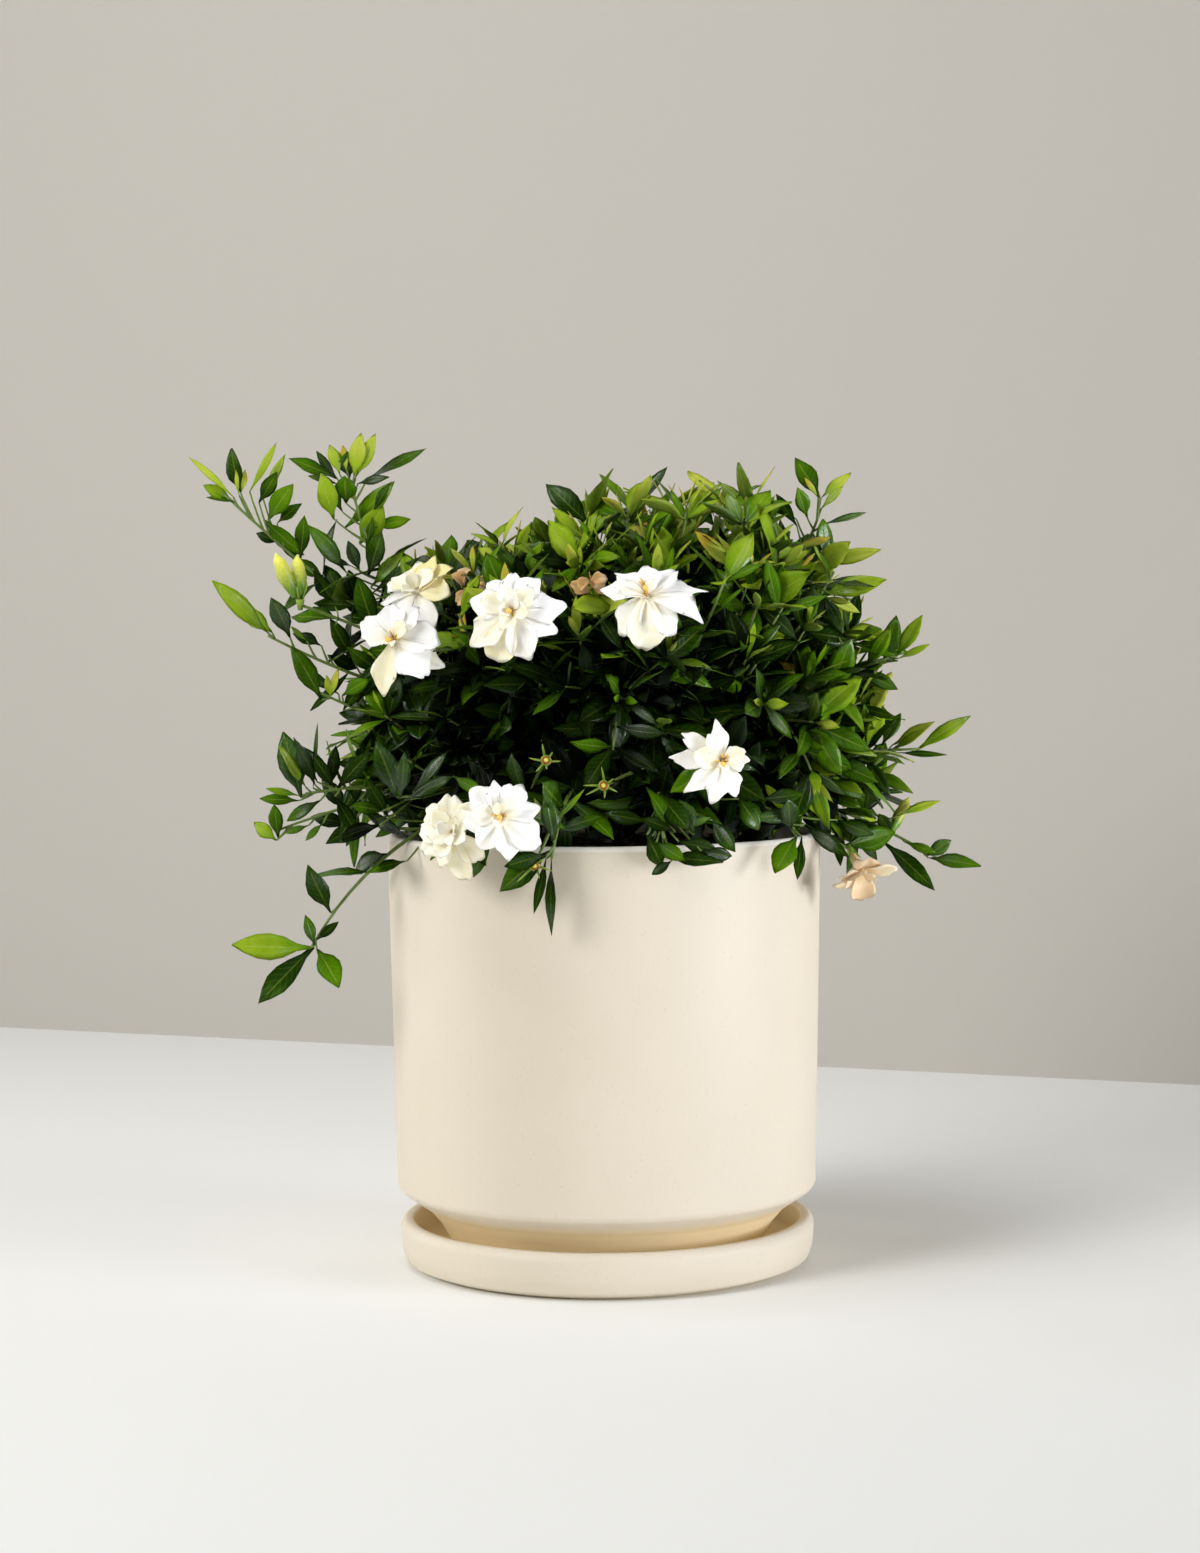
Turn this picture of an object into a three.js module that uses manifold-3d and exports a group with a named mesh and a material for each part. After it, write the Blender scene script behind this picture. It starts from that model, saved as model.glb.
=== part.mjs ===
// A potted gardenia: a dwarf gardenia bush, in flower, in a glazed cylinder pot that stands in its saucer.
// Millimetres, +Z up, the front towards -Y. The origin is the centre of the saucer's underside.
import * as THREE from "three";
import { mergeVertices } from "three/addons/utils/BufferGeometryUtils.js";
import Module from "manifold-3d";

const wasm = await Module();
wasm.setup();

// ---------------------------------------------------------------- driving dimensions

const GAP = 0.3; // air between pieces that rest on, or stand in, each other
const LATHE_SIDES = 32;
const SAUCER = { radius: 120, height: 27, wall: 9, floor: 8, footRadius: 108 };
const POT = {
  rimRadius: 125,
  baseRadius: 121.3, // the body narrows a little from its rim to its lower edge
  baseZ: 45,
  rimZ: 249,
  wall: 7,
  footRadius: 88,
  floor: 13,
  drainRadius: 9,
};
const SOIL = { level: 239, mound: 4, chip: 1.8 }; // chip is how far the bark stands up or lies low
const TRUNK = { radius: 6.5, bottom: 205, crown: 250, limbRadius: 3.2, spread: 46 };
const STEM = { rootRadius: 1.5, tipRadius: 1, twigRadius: 0.9, steps: 3, sides: 3 };
const LEAF = { slimness: 0.32, roll: 90, thickness: 0.7, curl: 0.22, free: 0.25 }; // free: it may touch its own stem up to here
const BLOOM = { petal: 26, thickness: 0.8, tube: 9.5, hub: 3.4, roll: 13 };
const CALYX = { cupLength: 6, sepal: 9.5, scar: 3, thickness: 1 };
const BUSH = { centre: [6, 0, 316], reach: [138, 128, 124], light: [-0.2, -0.65, 0.73] }; // leaves face the light
const HEART = { centre: [2, 0, 300], reach: [96, 88, 88], belly: 42, rough: 0.1 }; // belly: its reach downwards

const degrees = Math.PI / 180;
const v3 = (x, y, z) => new THREE.Vector3(x, y, z);
const at = (point) => new THREE.Vector3(...point);
const X = v3(1, 0, 0);
const Z = v3(0, 0, 1);

// ---------------------------------------------------------------- colours

const finish = (color, roughness) => new THREE.MeshStandardMaterial({ color, roughness, metalness: 0 });
const CREAM_GLAZE = finish("#efe3cd", 0.42);
const BARK_MIX = finish("#3a2a20", 0.95);
const WOOD = finish("#6b5236", 0.85);
const LEAF_GREEN = finish("#2f5a1c", 0.4);
const BUD_GREEN = finish("#b9c65a", 0.5);
const PETAL_WHITE = finish("#fbf7ec", 0.6);
const PETAL_FADED = finish("#ecd9a6", 0.7);
const STIGMA_YELLOW = finish("#dda032", 0.6);

// ---------------------------------------------------------------- the plant's plan

// A shoot leaves the wood at root and ends at tip; bow bends its middle. It carries crossed pairs of leaves
// and a tuft of them round its end, each about as long as leaf says.
const SPRIGS = [
  { name: "sprig_left_tall", root: [-60, -8, 340], tip: [-142, -24, 452], bow: [-14, 0, -12], pairs: 4, tuft: 4, leaf: 38 },
  { name: "sprig_left_upper", root: [-66, -4, 334], tip: [-216, -20, 446], bow: [4, 0, -12], pairs: 4, tuft: 4, leaf: 38 },
  { name: "sprig_left_out", root: [-62, -22, 320], tip: [-186, -62, 364], bow: [0, 0, -6], pairs: 3, tuft: 3, leaf: 38 },
  { name: "sprig_left_middle", root: [-60, -20, 304], tip: [-158, -56, 332], bow: [0, 0, -6], pairs: 3, tuft: 4, leaf: 38 },
  { name: "sprig_left_low", root: [-62, -26, 288], tip: [-166, -66, 276], bow: [0, 0, 0], pairs: 3, tuft: 4, leaf: 40 },
  { name: "sprig_left_rim", root: [-60, -8, 280], tip: [-184, -32, 254], bow: [0, 0, 5], pairs: 3, tuft: 3, leaf: 30 },
  { name: "sprig_left_hanging", root: [-50, -40, 276], tip: [-166, -74, 196], bow: [-18, -4, 22], pairs: 2, tuft: 4, leaf: 42 },
  { name: "sprig_top_right", root: [52, -4, 344], tip: [126, -12, 434], bow: [8, 0, -8], pairs: 3, tuft: 4, leaf: 36 },
  { name: "sprig_right_high", root: [60, -12, 322], tip: [166, -28, 350], bow: [0, 0, -4], pairs: 3, tuft: 4, leaf: 38 },
  { name: "sprig_right_middle", root: [62, -4, 298], tip: [182, -14, 296], bow: [0, 0, -2], pairs: 3, tuft: 3, leaf: 36 },
  {
    name: "sprig_right_low",
    root: [60, -8, 280],
    tip: [190, -22, 234],
    bow: [0, 0, 8],
    pairs: 3,
    tuft: 4,
    leaf: 40,
    bud: [176, -8, 268],
  },
  { name: "sprig_rim_centre", root: [24, -50, 278], tip: [32, -131, 254], bow: [0, 0, 8], pairs: 2, tuft: 4, leaf: 30 },
  {
    name: "sprig_rim_hanging",
    root: [-10, -50, 276],
    tip: [-28, -140, 244],
    bow: [0, -14, 16],
    pairs: 2,
    tuft: 3,
    leaf: 42,
    spent: [-38, -139, 238],
  },
  { name: "sprig_rim_right", root: [46, -36, 278], tip: [104, -98, 256], bow: [0, 0, 6], pairs: 2, tuft: 4, leaf: 32 },
];

// Boughs fill the dome: the azimuth is counted from +X towards the back, the height above the level.
const BOUGHS = [
  { name: "bough_top_back", azimuth: 62, height: 66 },
  { name: "bough_top_front", azimuth: 244, height: 66 },
  { name: "bough_upper_right_front", azimuth: 326, height: 38 },
  { name: "bough_upper_right_back", azimuth: 20, height: 38 },
  { name: "bough_upper_back", azimuth: 112, height: 36 },
  { name: "bough_upper_left_back", azimuth: 158, height: 38 },
  { name: "bough_front", azimuth: 272, height: 8 },
  { name: "bough_front_right", azimuth: 318, height: 0 },
  { name: "bough_back_right", azimuth: 40, height: -4 },
  { name: "bough_back", azimuth: 88, height: -6 },
  { name: "bough_back_left", azimuth: 140, height: -4 },
];
const BOUGH = { twigs: 2, pairs: 1, tuft: 4, twigTuft: 3, leaf: 38, twigLength: 40, from: 0.45, to: 0.9, inner: true };

// A bloom opens at place and faces along faces. The shoot that carries it leaves the wood at root.
const BLOOMS = [
  { name: "bloom_left", place: [-113, -97, 361], faces: [-0.25, -0.9, 0.3], root: [-50, -40, 326] },
  { name: "bloom_left_behind", place: [-100, -46, 394], faces: [-0.8, 0.3, 0.45], root: [-42, -18, 340] },
  { name: "bloom_centre_left", place: [-48, -124, 376], faces: [-0.05, -0.95, 0.25], root: [-22, -50, 336] },
  { name: "bloom_centre", place: [28, -118, 382], faces: [0.05, -0.62, 0.78], root: [12, -46, 338] },
  { name: "bloom_right_low", place: [57, -138, 291], faces: [0.2, -0.95, 0.1], root: [26, -56, 292], spent: [-2, -125, 281] },
  { name: "bloom_rim_left", place: [-88, -136, 257], faces: [-0.35, -0.9, 0.05], root: [-36, -50, 278] },
  { name: "bloom_rim_right", place: [-46, -150, 270], faces: [0.15, -0.92, 0.3], root: [-22, -56, 286], spent: [-30, -122, 297] },
  { name: "bloom_faded", place: [145, -56, 226], faces: [0.35, -0.35, -0.85], root: [54, -24, 278], faded: true },
  { name: "bloom_back_left", place: [-84, 112, 360], faces: [-0.4, 0.85, 0.35], root: [-38, 50, 326] },
  { name: "bloom_back_right", place: [62, 126, 344], faces: [0.3, 0.9, 0.3], root: [28, 56, 318] },
];
const WITH_STIGMA = [
  "bloom_left",
  "bloom_centre_left",
  "bloom_centre",
  "bloom_right_low",
  "bloom_rim_right",
  "bloom_back_left",
  "bloom_back_right",
];

// Two furled buds rise from one shoot.
const BUDS = { name: "buds_left", place: [-168, -60, 384], root: [-60, -30, 330], tips: [[-181, -64, 410], [-170, -56, 409]] };

// ---------------------------------------------------------------- shape helpers

/** A seeded draw between 0 and 1, the same on every run. */
function seeded(seed) {
  let state = seed;
  return () => {
    state = (state * 16807) % 2147483647;
    return state / 2147483647;
  };
}

/** A closed body through rings of equally many points; a ring of one point is a tip. */
function loft(rings) {
  const starts = rings.map((_, i) => rings.slice(0, i).flat().length);
  const index = [];
  for (let i = 0; i + 1 < rings.length; i++) {
    const near = rings[i].length;
    const far = rings[i + 1].length;
    for (let k = 0; k < Math.max(near, far); k++) {
      const a = starts[i] + (k % near);
      const b = starts[i] + ((k + 1) % near);
      const c = starts[i + 1] + (k % far);
      const d = starts[i + 1] + ((k + 1) % far);
      if (near > 1) index.push(a, b, c);
      if (far > 1) index.push(b, d, c);
    }
  }
  const last = starts[rings.length - 1];
  for (let k = 1; k + 1 < rings[0].length; k++) index.push(0, k + 1, k);
  for (let k = 1; k + 1 < rings[rings.length - 1].length; k++) index.push(last, last + k, last + k + 1);
  return new THREE.BufferGeometry().setFromPoints(rings.flat()).setIndex(index);
}

/** The manifold-3d solid of a closed geometry. */
function solid(geometry) {
  const bare = geometry.clone();
  bare.deleteAttribute("normal");
  bare.deleteAttribute("uv");
  const merged = mergeVertices(bare, 1e-4);
  return new wasm.Manifold(
    new wasm.Mesh({
      numProp: 3,
      vertProperties: new Float32Array(merged.attributes.position.array),
      triVerts: new Uint32Array(merged.index.array),
    }),
  );
}

/** A named mesh of a manifold-3d solid. */
function part(name, body, material) {
  const mesh = body.getMesh();
  const geometry = new THREE.BufferGeometry()
    .setAttribute("position", new THREE.BufferAttribute(mesh.vertProperties, 3))
    .setIndex(new THREE.BufferAttribute(mesh.triVerts, 1));
  geometry.computeVertexNormals();
  const named = new THREE.Mesh(geometry, material);
  named.name = name;
  return named;
}

/** A turned body from [radius, height] pairs, which close on themselves or on the axis. */
function turned(profile, sides = LATHE_SIDES) {
  const outline = profile.map(([r, z]) => new THREE.Vector2(r, z));
  return new THREE.LatheGeometry(outline, sides).rotateX(Math.PI / 2);
}

/** A small turned body whose axis runs from place along direction. */
function turnedAlong(profile, place, direction, sides) {
  const turn = new THREE.Quaternion().setFromUnitVectors(Z, direction);
  return turned(profile, sides).applyQuaternion(turn).translate(...place);
}

/** A tapering tube along a curve. */
function tube(curve, rootRadius, tipRadius, steps, sides) {
  const frames = curve.computeFrenetFrames(steps);
  const rings = frames.tangents.map((_, i) => {
    const radius = rootRadius + (tipRadius - rootRadius) * (i / steps);
    return Array.from({ length: sides }, (_, k) => {
      const turn = (k / sides) * 2 * Math.PI;
      return curve
        .getPoint(i / steps)
        .addScaledVector(frames.normals[i], radius * Math.cos(turn))
        .addScaledVector(frames.binormals[i], radius * Math.sin(turn));
    });
  });
  return loft(rings);
}

/** A thin three-sided rod between two points. */
function rod(from, to, radius, tipRadius = radius) {
  return solid(tube(new THREE.LineCurve3(from, to), radius, tipRadius, 1, 3));
}

/** A bent blade. stations are [share of the length, share of the width]; a width of 0 is a point. */
function blade({ base, along, up, length, width, thickness, curl, stations }) {
  const side = along.clone().cross(up);
  const rings = stations.map(([share, wide]) => {
    const middle = base
      .clone()
      .addScaledVector(along, share * length)
      .addScaledVector(up, -curl * length * share * share);
    if (wide === 0) return [middle];
    const corner = (across, level) =>
      middle
        .clone()
        .addScaledVector(side, (across * wide * width) / 2)
        .addScaledVector(up, (level * thickness) / 2);
    return [corner(1, 1), corner(1, -1), corner(-1, -1), corner(-1, 1)];
  });
  return solid(loft(rings));
}

/** The direction at an azimuth round a tangent; 90 degrees is as upright as it can be. */
function around(tangent, azimuth) {
  const level = new THREE.Vector3().crossVectors(tangent, Math.abs(tangent.z) > 0.95 ? X : Z).normalize();
  const upright = new THREE.Vector3().crossVectors(level, tangent).normalize();
  return level.multiplyScalar(Math.cos(azimuth * degrees)).addScaledVector(upright, Math.sin(azimuth * degrees));
}

// ---------------------------------------------------------------- room between the pieces

const taken = []; // what stands already: { owner, body, low, high }

function take(owner, body) {
  const box = body.boundingBox();
  taken.push({ owner, body, low: box.min, high: box.max });
  return body;
}

/** Whether a body keeps a gap to each taken piece that the rule picks out. */
function clears(body, gap, picked) {
  const { min, max } = body.boundingBox();
  return taken.every(
    (other) =>
      !picked(other) ||
      [0, 1, 2].some((i) => min[i] > other.high[i] + gap || max[i] < other.low[i] - gap) ||
      body.minGap(other.body, 2 * gap) > gap,
  );
}

/** The first of several ways to lay a piece, { body, free }, that has room; free is what leaves its own stem. */
function firstClear(owner, ways) {
  for (const way of ways) {
    const { body, free } = way();
    const apart = clears(body, GAP, (other) => other.owner !== owner);
    if (apart && (!free || clears(free, 0.05, (other) => other.owner === owner))) return take(owner, body);
  }
  return null;
}

// ---------------------------------------------------------------- pot, saucer and soil

function saucer() {
  const { radius, height, wall, floor, footRadius } = SAUCER;
  return turned([
    [0, 0],
    [footRadius, 0],
    [radius - 3, 3.5],
    [radius - 0.6, 11],
    [radius, height - 4],
    [radius - 2.5, height],
    [radius - wall + 1, height - 0.5],
    [radius - wall - 1.5, floor + 4],
    [radius - wall - 6, floor],
    [0, floor],
  ]);
}

function pot() {
  const { rimRadius, baseRadius, baseZ, rimZ, wall, footRadius, floor, drainRadius } = POT;
  const footZ = SAUCER.floor + GAP;
  return turned([
    [drainRadius, footZ + 3],
    [footRadius - 10, footZ + 3],
    [footRadius - 8, footZ],
    [footRadius, footZ],
    [footRadius + 9, 25],
    [baseRadius - 17, 33.5],
    [baseRadius - 1.8, baseZ - 1.2],
    [baseRadius, baseZ + 1.5],
    [rimRadius, rimZ - 3],
    [rimRadius - 2.2, rimZ],
    [rimRadius - wall + 1.2, rimZ - 0.3],
    [baseRadius - wall, baseZ + 8],
    [footRadius - 2, footZ + floor],
    [drainRadius, footZ + floor],
    [drainRadius, footZ + 3],
  ]);
}

/** The soil fills the pot. Its face is a low mound with bark chips that stand up out of it. */
function soil() {
  const { rimRadius, baseRadius, baseZ, rimZ, wall, footRadius, floor } = POT;
  const slope = (rimRadius - baseRadius) / (rimZ - baseZ);
  const inner = (z) => baseRadius - wall + slope * (z - baseZ - 8) - 2 * GAP;
  const bottom = SAUCER.floor + floor + 2 * GAP;
  const edge = inner(SOIL.level);
  const body = turned([
    [0, bottom],
    [footRadius - 3, bottom],
    [inner(baseZ + 8), baseZ + 8 + GAP],
    ...[1, 0.84, 0.66, 0.46, 0.24].map((share) => [edge * share, SOIL.level + SOIL.mound * (1 - share * share)]),
    [0, SOIL.level + SOIL.mound],
  ]);
  const draw = seeded(11);
  const chipped = solid(body).warp((point) => {
    const radius = Math.hypot(point[0], point[1]);
    if (point[2] > SOIL.level && radius > 1 && radius < edge * 0.98) point[2] += (draw() - 0.5) * 2 * SOIL.chip;
  });
  const depth = TRUNK.crown - TRUNK.bottom;
  const well = new THREE.CylinderGeometry(TRUNK.radius + GAP, TRUNK.radius + GAP, depth, 12)
    .rotateX(Math.PI / 2)
    .translate(0, 0, TRUNK.bottom - GAP + depth / 2);
  return chipped.subtract(solid(well));
}

// ---------------------------------------------------------------- stems

/** The curve of a shoot from its root to its tip. */
function stemCurve(root, tip, bow) {
  const middle = root.clone().add(tip).multiplyScalar(0.5).addScaledVector(bow, 2);
  return new THREE.QuadraticBezierCurve3(root, middle, tip);
}

/** The point at share t on the axis of a stem's straight steps. */
function onStem({ curve, steps }, t) {
  const step = Math.min(Math.floor(t * steps), steps - 1);
  return curve.getPoint(step / steps).lerp(curve.getPoint((step + 1) / steps), t * steps - step);
}

/** The main stem of a shoot, and its twigs where they have room. */
function stems({ name, root, tip, bow, twigs }, seed) {
  const main = { curve: stemCurve(root, tip, bow), steps: STEM.steps, main: true, seed };
  const whole = solid(tube(main.curve, STEM.rootRadius, STEM.tipRadius, STEM.steps, STEM.sides));
  main.body = take(name, whole.subtract(heartRoom));
  const found = [main];
  const start = seeded(seed)() * 360;
  for (let i = 0; i < twigs; i++) {
    const t = 0.3 + (0.5 * i) / Math.max(1, twigs - 1);
    const from = onStem(main, t);
    const tangent = main.curve.getTangent(t);
    const length = BOUGH.twigLength * (1 - 0.3 * t);
    for (const turn of [0, 30, -30, 60, -60]) {
      const out = around(tangent, start + i * 137.5 + turn);
      const end = from.clone().addScaledVector(tangent, length * 0.67).addScaledVector(out, length * 0.74);
      const curve = new THREE.LineCurve3(from, end);
      const body = firstClear(name, [() => ({ body: rod(from, end, STEM.twigRadius) })]);
      if (!body) continue;
      found.push({ curve, steps: 1, main: false, body, seed: seed + i + 1 });
      break;
    }
  }
  return found;
}

// ---------------------------------------------------------------- leaves

const LEAF_OUTLINE = [
  [0, 0],
  [0.36, 1],
  [0.72, 0.72],
  [1, 0],
];
const INNER_OUTLINE = [
  [0, 0],
  [0.42, 1],
  [1, 0],
];

/** One leaf of a stem at share t, turned by azimuth round it and leaning out from it by lean. */
function leaf(stem, { t, azimuth, lean, length, curl, roll, outline }) {
  const tangent = stem.curve.getTangent(t);
  const along = tangent
    .clone()
    .multiplyScalar(Math.cos(lean * degrees))
    .addScaledVector(around(tangent, azimuth), Math.sin(lean * degrees));
  const up = at(BUSH.light).addScaledVector(tangent, 0.7);
  up.addScaledVector(along, -up.dot(along)).normalize().applyAxisAngle(along, roll * degrees);
  const base = onStem(stem, t);
  const shape = { base, along, up, length, width: length * LEAF.slimness, thickness: LEAF.thickness, curl };
  const [root, ...rest] = outline;
  return {
    body: blade({ ...shape, stations: [root, ...rest] }),
    free: blade({ ...shape, stations: [[LEAF.free, LEAF.free / rest[0][0]], ...rest] }),
  };
}

/** Where the leaves of a stem grow: crossed pairs along it, then a tuft round its end. */
function leafPlan(pairs, tuft, length, outline, seed) {
  const draw = seeded(seed * 7);
  const start = draw() * 180;
  const plan = [];
  for (let i = 0; i < pairs; i++)
    for (const side of [0, 180])
      plan.push({
        t: 0.34 + (0.52 * (i + 0.5)) / pairs,
        azimuth: start + i * 90 + side + (draw() - 0.5) * 24,
        lean: 62 + (draw() - 0.5) * 20,
        length: length * (0.86 + draw() * 0.24),
        curl: LEAF.curl * (0.4 + draw()),
        roll: (draw() - 0.5) * LEAF.roll,
        outline,
      });
  for (let i = 0; i < tuft; i++)
    plan.push({
      t: 0.96,
      azimuth: start + 45 + (i * 360) / tuft + (draw() - 0.5) * 24,
      lean: i === 0 ? 14 : 58 + (draw() - 0.5) * 30,
      length: length * (0.78 + draw() * 0.22),
      curl: LEAF.curl * (0.2 + draw()),
      roll: (draw() - 0.5) * LEAF.roll,
      outline,
    });
  return plan;
}

/** Lays each leaf of the plan, turned aside where it would cross a neighbour, or drops it. */
function leaves(name, stem, plan) {
  const turns = [[0, 0], [20, 0], [-20, 0], [0, 14], [0, -14], [40, 0], [-40, 0], [65, 10], [-65, 10], [20, -24], [-20, -24]];
  const ways = (one) =>
    turns.map(([turn, lean]) => () => leaf(stem, { ...one, azimuth: one.azimuth + turn, lean: one.lean + lean }));
  return plan.map((one) => firstClear(name, ways(one))).filter(Boolean);
}

// ---------------------------------------------------------------- blooms

const PETAL_LAYERS = [
  { count: 6, length: 1, width: 0.66, rise: 6, curl: 0.2, turn: 0, outline: [[0, 0], [0.45, 0.7], [0.8, 1], [1, 0.5]] },
  { count: 5, length: 0.62, width: 0.46, rise: 44, curl: 0.05, turn: 30, outline: [[0, 0], [0.62, 1], [1, 0.6]] },
];
const FADED_LAYERS = [{ ...PETAL_LAYERS[0], length: 0.95, width: 0.44, rise: 54, curl: 0.1 }];

/** A petal: narrow at its claw, broad near its blunt end, rolled so that it overlaps the next one. */
function petal(place, faces, azimuth, layer, rise, length) {
  const out = around(faces, azimuth);
  const along = out.clone().multiplyScalar(Math.cos(rise * degrees)).addScaledVector(faces, Math.sin(rise * degrees));
  const up = faces.clone().multiplyScalar(Math.cos(rise * degrees)).addScaledVector(out, -Math.sin(rise * degrees));
  return {
    body: blade({
      base: place.clone().addScaledVector(out, 1),
      along,
      up: up.applyAxisAngle(along, BLOOM.roll * degrees),
      length: BLOOM.petal * layer.length * length,
      width: BLOOM.petal * layer.width,
      thickness: BLOOM.thickness,
      curl: layer.curl,
      stations: layer.outline,
    }),
  };
}

/** The petals of a bloom in their layers, fused round the tube they stand on. */
function bloom({ name, place, faces, faded }, seed) {
  const draw = seeded(seed);
  const centre = at(place);
  const front = at(faces).normalize();
  const throat = [
    [0, -BLOOM.tube],
    [2, -BLOOM.tube],
    [BLOOM.hub, 0.8],
    [0, 0.8],
  ];
  const pieces = [take(name, solid(turnedAlong(throat, centre, front, 6)))];
  for (const layer of faded ? FADED_LAYERS : PETAL_LAYERS) {
    const start = draw() * 60 + layer.turn;
    for (let i = 0; i < layer.count; i++) {
      const azimuth = start + (i * 360) / layer.count + (draw() - 0.5) * 10;
      const rise = layer.rise + (draw() - 0.5) * 8;
      const length = 0.92 + draw() * 0.14;
      const ways = [[0, 1], [10, 1], [-10, 0.95], [22, 0.9], [35, 0.8]].map(
        ([lift, short]) => () => petal(centre, front, azimuth, layer, rise + lift, length * short),
      );
      const body = firstClear(name, ways);
      if (body) pieces.push(body);
    }
  }
  return wasm.Manifold.union(pieces);
}

/** The club-shaped stigma that stands in a bloom's throat. */
function stigma({ name, place, faces }) {
  const front = at(faces).normalize();
  const foot = at(place).addScaledVector(front, 0.8 + GAP);
  const club = [
    [0, 0],
    [1.2, 0],
    [1.4, 5],
    [2.4, 7.5],
    [0, 10.5],
  ];
  return take(name + "_stigma", solid(turnedAlong(club, foot, front, 6)));
}

/** The green cup below a bloom. */
function cup(tip, front) {
  const profile = [
    [0, -CALYX.cupLength],
    [1.2, -CALYX.cupLength],
    [2.6, 0],
    [0, 0],
  ];
  return solid(turnedAlong(profile, tip, front, 5));
}

/** The star of sepals round the scar that a dropped bloom leaves, on its stalk from a stem. */
function spentCalyx(name, stem, place) {
  const from = onStem(stem, 0.5);
  const front = place.clone().sub(from).normalize();
  const outline = Array.from({ length: 12 }, (_, i) => {
    const radius = i % 2 ? CALYX.scar : CALYX.sepal;
    return new THREE.Vector2(radius * Math.cos(i * 30 * degrees), radius * Math.sin(i * 30 * degrees));
  });
  const star = new THREE.ExtrudeGeometry(new THREE.Shape(outline), { depth: CALYX.thickness, bevelEnabled: false })
    .applyQuaternion(new THREE.Quaternion().setFromUnitVectors(Z, front))
    .translate(...place);
  return take(name, rod(from, place.clone().addScaledVector(front, 0.5), 1).add(solid(star)));
}

/** A furled bud: a spindle with a pointed end. */
function bud(base, tip) {
  const line = tip.clone().sub(base);
  const length = line.length();
  const profile = [
    [0, 0],
    [1.6, 1.5],
    [4, 0.5 * length],
    [3.2, 0.78 * length],
    [0, length],
  ];
  return solid(turnedAlong(profile, base, line.normalize(), 6));
}

// ---------------------------------------------------------------- building the plant

/** The point on the bush's dome in a direction, or at a share of the way to it from the heart's centre. */
function onDome({ azimuth, height }, share) {
  const [rx, ry, rz] = BUSH.reach;
  const flat = Math.cos(height * degrees);
  const reach = v3(
    rx * flat * Math.cos(azimuth * degrees),
    ry * flat * Math.sin(azimuth * degrees),
    rz * Math.sin(height * degrees),
  );
  return at(HEART.centre).lerp(at(BUSH.centre).add(reach), share);
}

/** Every shoot of the plant; one with a front carries a bloom or buds. */
function shootPlan() {
  const boughs = BOUGHS.map((one) => ({
    ...BOUGH,
    name: one.name,
    root: onDome(one, BOUGH.from),
    tip: onDome(one, BOUGH.to),
    bow: v3(0, 0, 4),
  }));
  const sprigs = SPRIGS.map((one) => ({ ...one, root: at(one.root), tip: at(one.tip), bow: at(one.bow), twigs: 0 }));
  const flowering = BLOOMS.map((one) => {
    const front = at(one.faces).normalize();
    return {
      name: one.name.replace("bloom", "shoot"),
      root: at(one.root),
      cup: at(one.place).addScaledVector(front, -BLOOM.tube - GAP),
      front,
      spent: one.spent,
    };
  });
  const place = at(BUDS.place);
  const budding = { name: "shoot_buds_left", root: at(BUDS.root), cup: place.addScaledVector(Z, -GAP), front: Z };
  const bearing = [...flowering, budding].map((one) => ({
    ...one,
    tip: one.cup.clone().addScaledVector(one.front, -CALYX.cupLength / 2),
    bow: v3(0, 0, 3),
    pairs: 2,
    tuft: 0,
    twigs: 0,
    leaf: 34,
  }));
  return [...bearing, ...sprigs, ...boughs];
}

/** The core of the bush's heart, grown by a margin: a rough dome with a shallow belly. */
function coreShape(margin) {
  const draw = seeded(29);
  const [rx, ry, rz] = HEART.reach;
  const ball = mergeVertices(new THREE.IcosahedronGeometry(1, 2).deleteAttribute("normal").deleteAttribute("uv"));
  const corners = ball.attributes.position;
  for (let i = 0; i < corners.count; i++) {
    const away = new THREE.Vector3().fromBufferAttribute(corners, i).normalize();
    const swell = 1 + (draw() - 0.5) * 2 * HEART.rough;
    const down = away.z < 0 ? HEART.belly : rz;
    const [x, y, z] = [rx, ry, down].map((reach, axis) => away.getComponent(axis) * (reach * swell + margin));
    corners.setXYZ(i, x + HEART.centre[0], y + HEART.centre[1], z + HEART.centre[2]);
  }
  return ball;
}

/** The dense heart of the bush: the core, and the leaves that stand out of its corners. */
function heart(body) {
  const draw = seeded(31);
  const corners = coreShape(0).attributes.position;
  const pieces = [body];
  for (let i = 0; i < corners.count; i++) {
    const corner = new THREE.Vector3().fromBufferAttribute(corners, i);
    const out = corner.clone().sub(at(HEART.centre)).normalize();
    const stem = { curve: new THREE.LineCurve3(corner.clone().addScaledVector(out, -3), corner), steps: 1 };
    const one = { t: 0, azimuth: draw() * 360, lean: 34 + draw() * 24, length: 38 + draw() * 8, curl: LEAF.curl * draw() };
    const roll = (draw() - 0.5) * LEAF.roll;
    if (out.z > -0.6) pieces.push(...leaves("inner_foliage", stem, [{ ...one, roll, outline: INNER_OUTLINE }]));
  }
  return wasm.Manifold.union(pieces);
}

/** The trunk in the soil and the limbs that spread from it and carry the heart. */
function trunk(room) {
  const foot = new THREE.LineCurve3(v3(0, 0, TRUNK.bottom), v3(0, 0, TRUNK.crown));
  const limbs = [0, 72, 144, 216, 288].map((azimuth) => {
    const out = v3(Math.cos(azimuth * degrees), Math.sin(azimuth * degrees), 0);
    const end = at(HEART.centre).addScaledVector(out, TRUNK.spread);
    return solid(tube(new THREE.LineCurve3(v3(0, 0, TRUNK.crown - 6), end), TRUNK.limbRadius, TRUNK.limbRadius - 1, 1, 5));
  });
  const wood = wasm.Manifold.union([solid(tube(foot, TRUNK.radius, TRUNK.radius - 1.5, 1, 8)), ...limbs]);
  return wood.subtract(room);
}

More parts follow.
